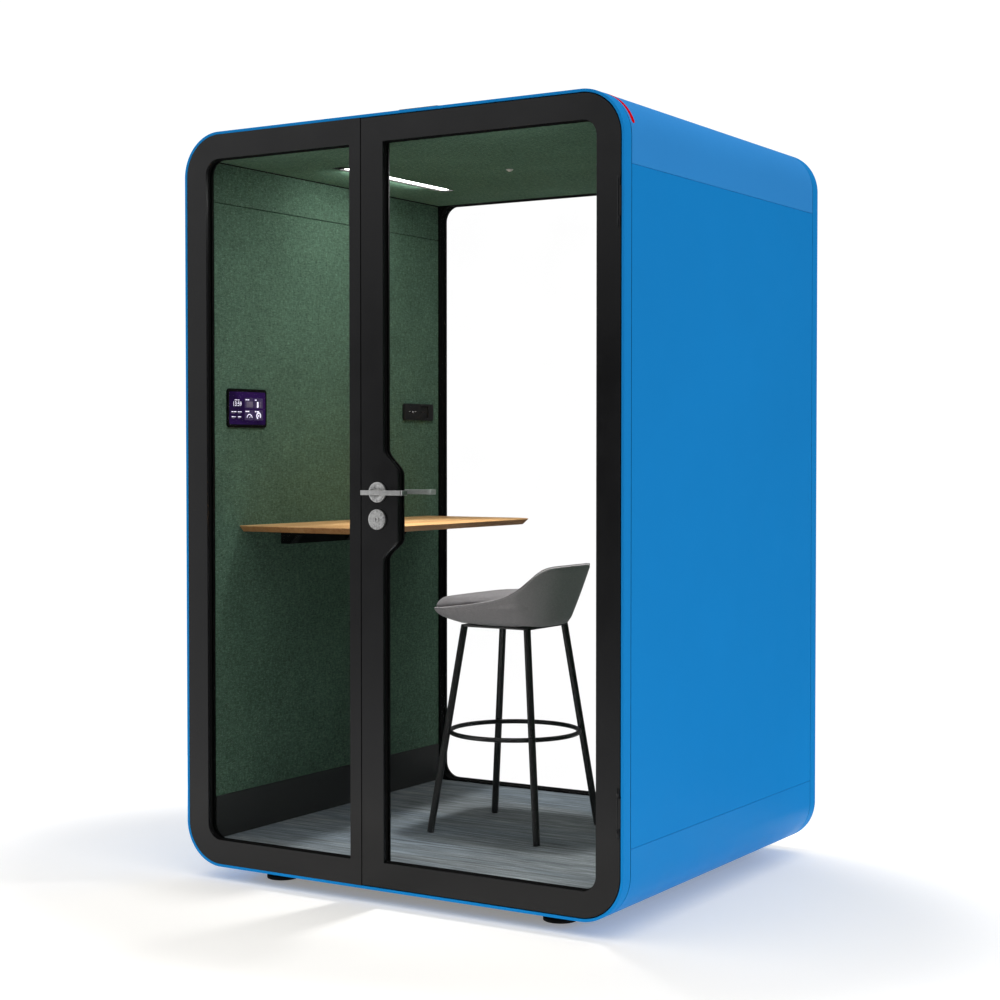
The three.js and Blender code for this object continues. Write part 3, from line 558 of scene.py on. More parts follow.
# painted reflection: the inner lever's steel is tinted green and made partly metallic, standing in for the green felt
# it reflects
M_STEEL_IN = mat_steel("steel_inner_painted_reflection", (0.54, 0.58, 0.55, 1), (0.3, 0.45), metal=0.25)
M_ZINC = mat_steel("lock_zinc", (0.42, 0.43, 0.42, 1), (0.4, 0.55), (200, 200, 200))
M_PLASTIC = mat_plastic("black_plastic")
M_WHITE = mat_plastic("white_plastic", 0.72, 0.4, (1, 1, 0.98))
M_SCREEN = mat_screen("screen_glass")
M_TRAY = mat_paint("light_tray", lin(26, 26, 27), 0.12, (0.4, 0.5), 0.3, 900, 0.1)
M_LIGHT = mat_glow("light_white", (1.0, 0.985, 0.95, 1), 11.0, 0.03)
M_PLY = mat_ply("deck_board")
M_WOOL = mat_wool("wall_wool")
M_LEG = mat_paint("stool_black", lin(34, 34, 34), 0.16, (0.26, 0.36), 0.6, 1200, 0.12)
M_SEAT = mat_fabric("stool_fabric", lin(176, 172, 173))
# painted shade: the pad is a darker copy of the stool fabric, set against the light that falls on its top
M_PAD = mat_fabric("stool_pad_fabric_painted_shade", lin(119, 116, 117))
M_PIPE = mat_fabric("stool_piping", lin(146, 142, 143))
M_UI = mat_glow("display_marks", (0.86, 0.82, 0.98, 1), 0.9, 0.1, 200)
M_UI_DIM = mat_glow("display_tiles", (0.040, 0.026, 0.075, 1), 0.6, 0.25, 60, 0.1)
M_UI_MID = mat_glow("display_grey", (0.115, 0.095, 0.14, 1), 0.6, 0.25, 60, 0.1)
# painted glow: the red strip is emissive though it is no lamp
M_RED = mat_glow("red_strip_painted_glow", (0.5, 0.002, 0.006, 1), 0.38, 0.12, 90, 0.0)
M_LED = mat_glow("led_white", (0.95, 0.95, 1.0, 1), 0.22, 0.08, 300)

# ============================================================================ shell
F, B = -650.0, 650.0


def ring_outline(d):
    return rrect(-750 - d, 750 + d, 0 - d, 2200 + d, 130 + d, n=40)


for name, y0, y1 in (("front_ring", F, F + 40), ("rear_ring", B - 40, B)):
    piece(name + "_skin", loft([at_y(ring_outline(0), y0), at_y(ring_outline(0), y1),
                                at_y(ring_outline(-8), y1), at_y(ring_outline(-8), y0)], ring=True),
          M_BLUE, replaces=[name], bevel=0.9)

PY0, PY1 = F + 42.8, B - 42.8
for name, y0, y1 in (("front", F + 39.2, F + 43.6), ("rear", B - 43.6, B - 39.2)):
    # compressed seal that shows as a dark line between ring and panels
    piece(name + "_ring_seal", loft([at_y(ring_outline(-1.0), y0), at_y(ring_outline(-1.0), y1),
                                     at_y(ring_outline(-7.4), y1), at_y(ring_outline(-7.4), y0)], ring=True), M_GASKET)
# the top bends take the lighter blue, which is painted light; the bottom bends keep the shell blue
for side, s in (("left", -1), ("right", 1)):
    piece(side + "_side_skin", band([(s * 750, 200.4 + 1799.2 * i / 6) for i in range(7)],
                                    [(s * 742, 200.4 + 1799.2 * i / 6) for i in range(7)], PY0, PY1),
          M_BLUE, replaces=[side + "_side_panel"], bevel=0.5, seg=2)
    for level, top in (("top", True), ("bottom", False)):
        cz, zo, zi, ze = (2070, 2200, 2192, 2000.4) if top else (130, 0, 8, 199.6)
        k = 1 if top else -1
        outer = [(s * 750, ze)] + [(s * x, z) for x, z in arc(620, cz, 130, 0, 90 * k, 40)] + [(s * 550.4, zo)]
        inner = [(s * 742, ze)] + [(s * x, z) for x, z in arc(620, cz, 122, 0, 90 * k, 40)] + [(s * 550.4, zi)]
        piece(f"{side}_{level}_bend", band(outer, inner, PY0, PY1), M_BLUE_TOP_LIT if top else M_BLUE_LOW,
              replaces=[f"{side}_{level}_corner"], bevel=0.5, seg=2)

# the roof panel takes the lighter blue copy, painted light
cad("roof_panel", M_BLUE_TOP_LIT, 1.2)
cad("base_panel", M_BASE, 1.0)

# red strip let into the bend of the right top corner, behind the front joint; it is no lamp, and its red glow is
# painted light
lens = []
for r in (129.6, 130.5):
    path = [(20.5 + 64.0 * i / 30) for i in range(31)]
    half = 8.6
    loop = []
    for a in path:
        loop.append((a, -589 - half))
    for i in range(9):
        t = math.radians(-90 + 180 * i / 8)
        loop.append((84.5 + math.degrees(half * math.cos(t) / 130), -589 + half * math.sin(t)))
    for a in reversed(path):
        loop.append((a, -589 + half))
    for i in range(9):
        t = math.radians(90 + 180 * i / 8)
        loop.append((20.5 + math.degrees(half * math.cos(t) / 130), -589 + half * math.sin(t)))
    lens.append([(620 + r * math.cos(math.radians(a)), y, 2070 + r * math.sin(math.radians(a))) for a, y in loop])
nl = len(lens[0])
lv = lens[0] + lens[1]
lf = [(j, (j + 1) % nl, nl + (j + 1) % nl, nl + j) for j in range(nl)]
for j in range(30):
    lf += [(nl + j, nl + j + 1, nl + 70 - 1 - j, nl + 70 - j), (j, 70 - j, 70 - 1 - j, j + 1)]
lf += [tuple(nl + i for i in range(30, 41)), tuple(reversed(range(30, 41)))]
lf += [tuple(nl + (70 + i) % nl for i in range(0, nl - 70 + 1)), tuple(reversed([(70 + i) % nl for i in range(0, nl - 70 + 1)]))]
piece("red_corner_strip", (lv, lf), M_RED, sharp=50)

# =================================================================== floor and lining
cad("floor_deck", M_PLY)
cad("carpet", M_CARPET, 1.5)
for side in ("left", "right"):
    cad(side + "_wall_core", M_WOOL, 4.0)
    cad(side + "_wall_felt", M_FELT, 1.2)
    cad(side + "_skirting", M_SKIRT, 1.2)
# the ceiling felt takes the lighter felt copy, painted light
cad("ceiling_felt", M_FELT_TOP, 1.0)
# painted shade: a dark strip in the shadow gap where the ceiling meets each wall, and a thin dark line at the felt
# joint at z 2000
joint_and_shade_strips = Build()
for k in (-1, 1):
    a, b = sorted((k * 674.9, k * 670.6))
    joint_and_shade_strips.add(slab(a, b, -602, 607.5, 2119.0, 2121.7, 0.6))
    a, b = sorted((k * 675.3, k * 674.7))
    joint_and_shade_strips.add(slab(a, b, -602, 607.5, 1999.5, 2000.5, 0.2))
piece("lining_joint_line_and_painted_gap_shade", joint_and_shade_strips, M_GASKET)

# ====================================================================== glazed frames
RAMP_N = 20
BULGE, DX0 = 50.0, -19.5


def lock_edge(x_of):
    zs = [(1256 - 74.0 * i / RAMP_N, 1) for i in range(RAMP_N + 1)] + [(1004 - 64.0 * i / RAMP_N, -1) for i in range(RAMP_N + 1)]
    out = []
    for z, k in zs:
        t = (1256 - z) / 74.0 if k > 0 else (z - 940) / 64.0
        out.append((x_of(0.5 - 0.5 * math.cos(math.pi * t)), z))
    return out


def fixed_outer(d=0):
    return rrect(-741.7 - d, -97.5 + d, 8.3 - d, 2191.7 + d, 0.6, 0.6, 121.7, 121.7)


def fixed_hole(d):
    return rrect(-668 - d, -136 + d, 80.5 - d, 2119.5 + d, 3, 3, 48 + d, 48 + d)


def door_outer(d=0):
    return rrect(-94.5, 739, 11, 2189, 119, 119, 0.6, 0.6, left=lock_edge(lambda k: -94.5))


def door_hole(d):
    return rrect(DX0 - d, 667 + d, 81.5 - d, 2119.5 + d, 45 + d, 45 + d, 3, 3,
                 left=lock_edge(lambda k: DX0 - d + BULGE * k))


def rear_outer(d=0):
    return rrect(-741.7, 741.7, 8.3, 2191.7, 121.7)


def rear_hole(d):
    return rrect(-664.5 - d, 664.5 + d, 80 - d, 2120 + d, 52 + d)


def glazed(outer, hole, y_face, y_rebate, y_back):
    return loft([at_y(outer(), y_face), at_y(outer(), y_back), at_y(hole(13.5), y_back),
                 at_y(hole(13.5), y_rebate), at_y(hole(0), y_rebate), at_y(hole(0), y_face)], ring=True)


fixed = piece("fixed_light_frame", glazed(fixed_outer, fixed_hole, -649, -634, -608.3), M_BLACK,
              replaces=["fixed_frame"])
carve(fixed, slab(-100.5, -96, -641, -617, 1024, 1165, 1.0, "x"), slab(-112, -96, -637, -621, 1122, 1144, 1.0, "x"),
      slab(-114, -96, -637, -621, 1044, 1068, 1.0, "x"))
dress(fixed, 36, 1.0)

door = piece("door_leaf_frame", glazed(door_outer, door_hole, -649, -634, -609), M_BLACK, "door",
             replaces=["door_frame"])
cuts = []
for z in (300, 1900):
    cuts.append(slab(733, 760, -660, -645.8, z - 42, z + 42, 0.6, "y"))
    cuts.append(turn_z([(0, z - 42), (5.0, z - 42), (5.0, z + 42), (0, z + 42)], 733, -649, 40))
    cuts.append(turn_z([(0, z - 66), (2.6, z - 66), (2.6, z + 66), (0, z + 66)], 733, -649, 24))
cuts.append(slab(-97, 4, -638.5, -619.5, 1005, 1195, 1.0, "x"))
carve(door, *cuts)
dress(door, 36, 1.0)


def barrel(prof):
    return loft([[(733 + r * math.cos(2 * math.pi * j / 40), -649 + r * math.sin(2 * math.pi * j / 40), hh) for j in range(40)]
                 for r, hh in prof], ring=True)


eyes = Build()
for z in (300, 1900):
    for a, b in ((z + 42.2, z + 64), (z - 64, z - 42.2)):
        eyes.add(barrel([(2.6, a), (4.0, a), (4.4, a + 0.5), (4.4, b - 0.5), (4.0, b), (2.6, b)]))
piece("door_hinge_eyes", eyes, M_BLACK, "door", sharp=40)

# the rear frame is painted darker than the front frames, as painted shade
piece("rear_light_frame", glazed(rear_outer, rear_hole, 649, 633, 609), M_BLACK_SHADED,
      replaces=["rear_frame"], bevel=1.0)

for name, hole, body, y0, y1 in (("fixed", fixed_hole, "root", -623.4, -609), ("door", door_hole, "door", -623.4, -609),
                                 ("rear", rear_hole, "root", 609, 622.4)):
    ins, face = (y1, y0) if name != "rear" else (y0, y1)
    # snap-in bead: square at the frame, sloped towards the glass
    piece(name + "_glazing_bead", loft([at_y(hole(13.2), ins), at_y(hole(13.2), face), at_y(hole(0.0), face),
                                        at_y(hole(0.0), ins + (face - ins) * 0.55), at_y(hole(3.5), ins)], ring=True),
          M_BEAD, body, replaces=[name + "_bead"], bevel=0.5, seg=2)
    # wedge gaskets that show as a fine dark line on both faces of the glass
    yo, yi = (-633.75, -623.6) if name != "rear" else (632.75, 622.6)
    k = -1 if name != "rear" else 1
    gk = Build()
    gk.add(loft([at_y(hole(0.4), yo), at_y(hole(-3.2), yo), at_y(hole(-2.4), yo + k * 2.6), at_y(hole(0.4), yo + k * 3.4)], ring=True))
    gk.add(loft([at_y(hole(0.4), yi), at_y(hole(-2.6), yi), at_y(hole(-1.8), yi - k * 2.2), at_y(hole(0.4), yi - k * 3.0)], ring=True))
    piece(name + "_glass_gasket", gk, M_GASKET, body)
    cad(name + "_glass", M_GLASS)

cad("front_jamb", M_BLACK, 0.6)
cad("strike_plate", M_STEEL, 0.3)

# ============================================================================ hinges
for n, z in (("lower", 300), ("upper", 1900)):
    h = Build()
    prof = [(2.4, z - 41.5), (4.0, z - 41.5), (4.4, z - 41.0)]
    for g in (-13.8, 13.8):
        prof += [(4.4, z + g - 0.7), (4.0, z + g - 0.3), (4.0, z + g + 0.3), (4.4, z + g + 0.7)]
    prof += [(4.4, z + 41.0), (4.0, z + 41.5), (2.4, z + 41.5)]
    h.add(barrel(prof))
    h.add(slab(736.6, 741.7, -651.0, -646.4, z - 39.6, z + 39.6, 0.6))
    h.add(slab(739.4, 741.7, -649, -612.2, z - 39.6, z + 39.6, 0.6))
    piece("hinge_body_" + n, h, M_BLACK, replaces=["hinge_" + n], bevel=0.3, seg=2)
    piece("hinge_rod_" + n, turn_z([(0, z - 63), (1.6, z - 63), (2.05, z - 62.4), (2.05, z + 62.4), (1.6, z + 63), (0, z + 63)],
                                   733, -649, 32), M_BLACK, replaces=["hinge_pin_" + n])

# ============================================================================== lock
cad("lock_case", M_ZINC, 0.4)
cad("latch_bolt", M_STEEL, 0.6)
cad("dead_bolt", M_STEEL, 0.6)
LX, LZ, KX, KZ, YF = -36.0, 1133.0, -37.0, 1056.0, -649.3


def disc_profile(r0, extra=()):
    """Screw-on rose: rolled edge and a shallow turned groove."""
    p = [(r0, YF), (29, YF), (29, YF - 5.6)]
    p += [(29 - 2.2 * (1 - math.cos(math.radians(a))), YF - 5.6 - 2.4 * math.sin(math.radians(a))) for a in (22, 45, 68, 90)]
    p += [(24.6, YF - 8.0), (24.2, YF - 7.4), (23.6, YF - 7.4), (23.2, YF - 8.0)]
    return p + list(extra)


piece("lever_rose", loft([[(LX + r * math.cos(2 * math.pi * j / 72), h, LZ + r * math.sin(2 * math.pi * j / 72)) for j in range(72)]
                          for r, h in disc_profile(11, [(13.4, YF - 8.0), (12.2, YF - 7.2), (11, YF - 7.2)])], ring=True),
      M_ROSE, "door", replaces=["outer_rose"])

kb = Build()
kb.add(turn_y([(0, YF + 20), (10.5, YF + 20), (10.5, YF)] + disc_profile(10.5, [(12.2, YF - 8.0), (11.4, YF - 7.4), (9.2, YF - 7.4),
                                                                              (8.6, YF - 7.4), (8.6, YF - 9.5), (8.1, YF - 10.0), (0, YF - 10.0)])[1:], KX, KZ, 72))
key = piece("key_escutcheon", kb, M_ROSE, "door", replaces=["key_cylinder"])
carve(key, slab(KX - 1.1, KX + 1.1, YF - 14, YF - 4.5, KZ - 5, KZ + 5, 0.9, "y"),
      slab(KX - 2.2, KX + 0.3, YF - 14, YF - 4.8, KZ - 1.2, KZ + 3.2, 0.5, "y"))
dress(key, 36)


def stad(r):
    return arc(LX - 0.5, LZ, r, 0, 180, 30) + arc(LX - 0.5, KZ, r, 180, 360, 30)


plate = piece("inner_lock_plate", loft([at_y(stad(28), -608.7), at_y(stad(28), -603.6), at_y(stad(27.2), -602.3), at_y(stad(25.6), -601.7)]),
              M_STEEL, "door", replaces=["inner_plate"])
carve(plate, turn_y([(0, -612), (11, -612), (11, -598), (0, -598)], LX, LZ, 40), turn_y([(0, -612), (8, -612), (8, -598), (0, -598)], KX, KZ, 40))
dress(plate, 36)


def lever(name, node, x1, y_out, y_in, y_end, y_root, spindle, mat):
    """Flat bar on a round neck, its free end turned back towards the door."""
    s = 1 if y_in > y_out else -1
    turned = [(x1 - 5 + 5 * math.sin(math.radians(a)), y_out + s * (5 - 5 * math.cos(math.radians(a)))) for a in range(0, 91, 15)]
    hollow = [(x1 - 12.5 - 2 + 2 * math.sin(math.radians(a)), y_in + s * (2 - 2 * math.cos(math.radians(a)))) for a in range(90, -1, -30)]
    line = [(-50.0, y_out)] + turned + [(x1, y_end), (x1 - 12.5, y_end)] + hollow + [(-50.0, y_in)]
    lv = piece(name, loft([at_z(line, z) for z in (LZ - 6.75, LZ + 6.75)]), mat, None, sharp=40, bevel=1.1)
    settle(lv)
    neck = turn_y([(0, y_in - 3 * s), (6.1, y_in - 3 * s), (6.1, y_in + 7 * s), (6.5, y_in + 11 * s), (7.8, y_in + 18 * s), (9.0, y_in + 24 * s),
                   (9.4, y_in + 30 * s), (9.5, y_root - 9 * s), (10.3, y_root - 8 * s), (10.3, y_root - 0.8 * s),
                   (9.6, y_root), (0, y_root)], LX, LZ, 48)
    nb = Build()
    nb.add(neck)
    if spindle:
        nb.add(slab(LX - 4, LX + 4, -652, -569, LZ - 4, LZ + 4, 0.6, "y"))
    nk = piece(name + "_neck", nb, mat, "lever", sharp=40)
    return own(lv, "lever", [node])


lever("outer_handle", "outer_lever", 90.5, -716.0, -705.0, -687.0, -650.0, True, M_STEEL)
# the inner lever takes the green-tinted steel, a painted reflection
lever("inner_handle", "inner_lever", 90.5, -542.0, -553.0, -571.0, -608.0, False, M_STEEL_IN)

tt = Build()
tt.add(turn_y([(0, -625), (6.5, -625), (6.5, -597), (0, -597)], KX, KZ, 36))
grip = lambda i: rrect(KX - 5 + i, KX + 5 - i, KZ - 17 + i, KZ + 17 - i, 4.9 - i, n=12)
tt.add(loft([at_y(grip(0.8), -597.2), at_y(grip(0), -596.2), at_y(grip(0), -581), at_y(grip(0.5), -579.6), at_y(grip(1.6), -579)]))
piece("thumb_grip", tt, M_STEEL, "thumb", replaces=["thumb_turn"], sharp=40)

# ============================================================================== desk


def desk_loop(inset, z):
    r = 100.0 - inset
    return at_z(rrect(-674.6, -220 - inset, -490 + inset, 548 - inset, r, r, 0.4, 0.4, n=28), z)


piece("desk_board", loft([desk_loop(0.7, 1020.4), desk_loop(0.2, 1020.2), desk_loop(0, 1019.7), desk_loop(0, 1018.3),
                          desk_loop(0.3, 1017.8), desk_loop(17.6, 1001.8), desk_loop(18.2, 1001.4)]),
      M_WOOD, replaces=["desk_top"], sharp=30)
# the bracket's near-black colour is partly painted shade from under the desk
cad("desk_bracket", M_BEAD, 1.0, 3)

# ========================================================================= electrics
PANEL = (-551.0, -364.0, 1322.0, 1441.0)
po = lambda i: rrect(PANEL[0] + i, PANEL[1] - i, PANEL[2] + i, PANEL[3] - i, 11 - i * 0.6, n=12)
pi_ = lambda i: rrect(PANEL[0] + 7 + i, PANEL[1] - 7 - i, PANEL[2] + 9 + i, PANEL[3] - 9 - i, 5, n=12)
piece("display_bezel", loft([at_x(po(0), -674.7), at_x(po(0), -670.4), at_x(po(0.5), -669.2), at_x(po(1.6), -668.7),
                             at_x(pi_(-0.5), -668.7), at_x(pi_(0), -669.0), at_x(pi_(0), -671.7)]),
      M_BEAD, replaces=["control_panel"], sharp=40)
cad("control_screen", M_SCREEN)

ui = {"marks": [], "tiles": [], "grey": []}


def uv(u, v):
    return (PANEL[0] + u - 6.5, PANEL[2] + v * 0.963)


def bar(kind, u0, v0, u1, v1, r=0.8):
    ui[kind].append([uv(u, v) for u, v in rrect(u0, u1, v0, v1, r, n=5)])


def arc_band(kind, cu, cv, r0, r1, a0, a1, n=24):
    a, b = arc(cu, cv, r1, a0, a1, n), arc(cu, cv, r0, a0, a1, n)
    for i in range(n):
        ui[kind].append([uv(*a[i]), uv(*a[i + 1]), uv(*b[i + 1]), uv(*b[i])])


bar("marks", 39, 86.6, 52, 88.6), bar("marks", 54, 86.6, 61, 88.6)
for u0, u1, v0 in ((23, 33, 48.6), (35, 46.5, 48.6), (54, 62, 48.6), (64, 71.5, 48.6), (24, 35, 32.6), (37, 42.5, 32.6), (54, 69, 32.6)):
    bar("marks", u0, v0, u1, v0 + 2.6)
for u0, u1, v0 in ((23, 40, 44.6), (54, 66, 44.6), (24, 38, 28.8), (54, 64, 28.8)):
    bar("grey", u0, v0, u1, v0 + 2.0)
for u0, v0 in ((86.5, 62), (132, 62), (86.5, 24), (132, 24)):
    bar("tiles", u0, v0, u0 + 42.5, v0 + 33, 3.0)
bar("marks", 90, 87.4, 97, 90.6), bar("marks", 99, 87.4, 108, 90.6)
bar("grey", 95, 65.5, 126, 83.5, 2.0)
bar("marks", 135, 87.4, 143.5, 90.6)
bar("marks", 145, 65, 152.6, 83)
bar("grey", 158.5, 65, 166, 76), bar("grey", 158.5, 77.5, 166, 84)
bar("marks", 90, 50, 96, 53.6), bar("marks", 98, 50, 108, 53.6)
arc_band("marks", 109.5, 30.5, 11.0, 13.6, 4, 176)
ui["marks"].append([uv(108.6, 31.2), uv(110.4, 31.2), uv(115.4, 38.6), uv(114.6, 39.2)])
bar("marks", 135, 50, 142.5, 53.6), bar("marks", 145, 50, 155, 53.6)
arc_band("marks", 153.5, 38.5, 7.0, 11.6, -40, 250, 30)
bar("marks", 150.4, 35.6, 156.6, 41.4, 2.6)

font = bpy.data.curves.new("clock_digits", "FONT")
font.body, font.size, font.align_x = "13:59", 19.5, "CENTER"
holder = bpy.data.objects.new("clock_digits", font)
scene.collection.objects.link(holder)
bpy.context.view_layer.update()
dgraph = bpy.context.evaluated_depsgraph_get()
digits = bpy.data.meshes.new_from_object(holder.evaluated_get(dgraph), depsgraph=dgraph)
clock_v = [uv(50.5 + v.co.x * 0.98, 68.4 + v.co.y * 1.04) for v in digits.vertices]
clock_f = [tuple(p.vertices) for p in digits.polygons]
bpy.data.objects.remove(holder, do_unlink=True)
bpy.data.meshes.remove(digits)

for kind, mat, x in (("tiles", M_UI_DIM, -669.06), ("grey", M_UI_MID, -668.98), ("marks", M_UI, -668.90)):
    v, f = [], []
    for poly in ui[kind]:
        o = len(v)
        v += [(x, y, z) for y, z in poly]
        f.append(tuple(range(o, o + len(poly))))
    if kind == "marks":
        o = len(v)
        v += [(x, y, z) for y, z in clock_v]
        f += [tuple(i + o for i in q) for q in clock_f]
    me = bpy.data.meshes.new("display_" + kind)
    me.from_pydata([P(*q) for q in v], [], f)
    bm = bmesh.new()
    bm.from_mesh(me)
    bmesh.ops.remove_doubles(bm, verts=bm.verts, dist=1e-6)
    for face in bm.faces:
        if face.normal.x < 0:
            face.normal_flip()
    bm.to_mesh(me)
    bm.free()
    ob = bpy.data.objects.new("display_" + kind, me)
    scene.collection.objects.link(ob)
    me.materials.append(mat)
    so = ob.modifiers.new("film", "SOLIDIFY")
    so.thickness, so.offset = 0.00006, 1.0
    settle(ob)
    own(ob, "root")

# power strip: plate with a framed square outlet, two charging slots and a pilot light
so_ = lambda i: rrect(384 + i, 563 - i, 1358 + i, 1415 - i, 7 - i * 0.5, n=10)
sock = piece("power_plate", loft([at_x(so_(0), -674.7), at_x(so_(0), -667.2), at_x(so_(0.5), -665.6), at_x(so_(1.6), -665.0)]),
             M_PLASTIC, replaces=["power_socket"])
carve(sock, slab(-670, -655, 480, 530, 1364, 1409, 6, "x"), slab(-671, -655, 445, 458, 1383, 1390, 1, "x"),
      slab(-671, -655, 410, 423, 1383, 1390, 1, "x"))
for yy in (495.5, 514.5):
    carve(sock, loft([[(x, yy + 2.6 * math.cos(2 * math.pi * j / 24), 1386.5 + 2.6 * math.sin(2 * math.pi * j / 24)) for j in range(24)]
                      for x in (-673.5, -655)]))
dress(sock, 36, 0.4, 2)
tongue = Build()
for yy in (451.5, 416.5):
    tongue.add(slab(-670.9, -666.2, yy - 4.6, yy + 4.6, 1386.9, 1388.6, 0.3, "x"))
piece("usb_tongues", tongue, M_WHITE)
rim_o = lambda i: rrect(477.5 + i, 532.5 - i, 1361.5 + i, 1411.5 - i, 8 - i, n=8)
piece("outlet_rim", loft([at_x(rim_o(0), -665.2), at_x(rim_o(0.3), -664.5), at_x(rim_o(2.0), -664.5), at_x(rim_o(2.3), -665.2)], ring=True),
      M_PLASTIC)
piece("pilot_light", loft([[(x, 434 + r * math.cos(2 * math.pi * j / 24), 1386.5 + r * math.sin(2 * math.pi * j / 24)) for j in range(24)]
                           for x, r in ((-665.3, 2.2), (-664.7, 2.2), (-664.4, 1.6), (-664.3, 0.7))]), M_LED)

cad("light_channel", M_TRAY, 0.4)
cad("light_diffuser", M_LIGHT, 0.8)
piece("light_end_cap", slab(-455.8, -410.2, -307.8, -272, 2122.2, 2126.8, 1.5), M_BEAD, bevel=0.4, seg=2)
piece("presence_sensor", turn_z([(0, 2115), (3.4, 2115.2), (5.6, 2116.1), (6.6, 2117.4), (6.9, 2118.2), (7.6, 2118.0), (9.6, 2118.6), (10.7, 2119.8),
                                 (11, 2121), (11, 2121.7), (0, 2121.7)], 0, 0, 40), M_WHITE, replaces=["motion_sensor"], sharp=50)

# ========================================================================= roof unit
def vent_plan(i):
    """Main box with the outlet snout on its front."""
    r = max(18 - i, 2)
    pts = arc(275 - i - r, -250 + i + r, r, -90, 0, 12) + arc(275 - i - r, 250 - i - r, r, 0, 90, 12)
    pts += arc(-275 + i + r, 250 - i - r, r, 90, 180, 12) + arc(-275 + i + r, -250 + i + r, r, 180, 270, 12)
    q = max(10 - i, 1.5)
    pts += [(-153 + i, -250 + i)] + arc(-153 + i + q, -390 + i + q, q, 180, 270, 8) + arc(-5 - i - q, -390 + i + q, q, -90, 0, 8) + [(-5 - i, -250 + i)]
    return pts


vent = piece("roof_unit_cover", loft([at_z(vent_plan(0), 2200.3), at_z(vent_plan(0), 2255), at_z(vent_plan(0.7), 2257.4),
                                      at_z(vent_plan(2.3), 2259.2), at_z(vent_plan(4.6), 2260)]), M_VENT,
             replaces=["roof_vent"])
carve(vent, slab(-272, 272, -247, 247, 2195, 2257, 15), slab(-150, -8, -387, -240, 2195, 2257, 7))
louvre = Build()
for z in (2220, 2236):
    for i in (-1, 0, 1):
        louvre.add(slab(i * 150 - 65, i * 150 + 65, 240, 260, z, z + 8, 3.6, "y"))
    louvre.add(slab(85, 215, -260, -240, z, z + 8, 3.6, "y"))
    louvre.add(slab(-139, -19, -398, -383, z, z + 8, 3.6, "y"))
carve(vent, louvre)
dress(vent, 36, 0.6, 2)
screws = Build()
for sx in (-1, 1):
    for y in (-205, 205):
        screws.add(turn_z([(0, 2262.0 - 2.1), (3.6, 2262.0 - 2.2), (5.0, 2261.2 - 1.6), (5.2, 2259.6), (5.2, 2258.6), (0, 2258.6)], sx * 235, y, 28))
piece("roof_unit_screws", screws, M_STEEL)
cad("fan_housing", M_PLASTIC, 0.5)
cad("fan_rotor", M_PLASTIC, 0.3)

# ============================================================================== feet
for n, sx, sy in (("front_left", -1, -1), ("front_right", 1, -1), ("rear_left", -1, 1), ("rear_right", 1, 1)):
    ft = Build()
    prof = [(0, -40), (45.5, -40), (47.6, -39), (48, -37.6), (48, -31.5), (47.2, -30.2), (44, -28.4), (30, -25.2), (17, -23.2), (14.6, -21.8),
            (14, -20), (14, -8.6), (13.4, -8), (6.5, -8)]
    z = -7.4
    while z < 36.5:  # threaded stud
        prof += [(6.5, z), (5.9, z + 0.5), (6.5, z + 1.0)]
        z += 1.75
    prof += [(6.0, 38), (0, 38)]
    ft.add(turn_z(prof, sx * 485, sy * 520, 44))
    body = {"front_left": "foot_fl", "front_right": "foot_fr", "rear_left": "foot_rl", "rear_right": "foot_rr"}[n]
    piece("levelling_" + n, ft, M_FOOT, body, replaces=["foot_" + n], sharp=30)

# ============================================================================= stool
SX, SY = 22.0, -4.0
SEAT_Z = 714.0
LCX, LCY = 18.0, 1.0
legs = Build()
for sx, sy in ((-1, -1), (1, -1), (1, 1), (-1, 1)):
    at = lambda z: (LCX + sx * (191 + (112.5 - 191) * (z - 72) / (713.7 - 72)), LCY + sy * (187 + (112.5 - 187) * (z - 72) / (713.7 - 72)), z)
    zs = [78.5, 79.2, 80.5] + [90 + 615 * i / 14 for i in range(15)] + [708.5]
    rad = [9.6, 10.6, 11.0] + [11.0] * 15 + [11.0]
    legs.add(tube([at(z) for z in zs], 11, 28, radii=rad))
    legs.add(tube([at(z) for z in (72.3, 73.2, 74.6, 79.0)], 10, 28, radii=[8.0, 10.0, 10.6, 10.6]))
ringp = [(LCX + 200.6 * math.cos(2 * math.pi * i / 96), LCY + 200.6 * math.sin(2 * math.pi * i / 96), 379) for i in range(96)]
legs.add(tube(ringp, 7.2, 18, closed=True))
pl = lambda i: [(LCX + x, LCY + y) for x, y in rrect(-126 + i, 126 - i, -126 + i, 126 - i, max(20 - i * 0.3, 6), n=10)]
legs.add(loft([at_z(pl(0.5), 707.7), at_z(pl(0), 708.4), at_z(pl(0), 713.0), at_z(pl(0.6), 713.7), at_z(pl(29), 713.7), at_z(pl(30), 713.2),
               at_z(pl(30), 708.2), at_z(pl(29.5), 707.7)], ring=True))
for a in (45, -45):
    c, s_ = math.cos(math.radians(a)), math.sin(math.radians(a))
    rot = lambda x, y: (LCX + c * x - s_ * y, LCY + s_ * x + c * y)
    legs.add(loft([at_z([rot(x, y) for x, y in rrect(-136, 136, -14, 14, 3, n=4)], zz) for zz in (708.0, 713.4)]))
piece("stool_base", legs, M_LEG, "stool", replaces=["stool_frame"], sharp=40)

# upholstered bucket: one outline at the bottom, one climbing rim
RIM = [(-213, 765.5), (-205, 766), (-150, 771), (-53, 784), (29, 798), (70, 809), (110, 826), (140, 849), (170, 880), (185, 894.5), (200, 901.5), (213, 903)]


def even(points, n):
    p = np.array(points + points[:1], float)
    d = np.concatenate([[0], np.cumsum(np.linalg.norm(np.diff(p, axis=0), axis=1))])
    s = np.linspace(0, d[-1], n + 1)[:-1]
    return np.stack([np.interp(s, d, p[:, 0]), np.interp(s, d, p[:, 1])], 1)


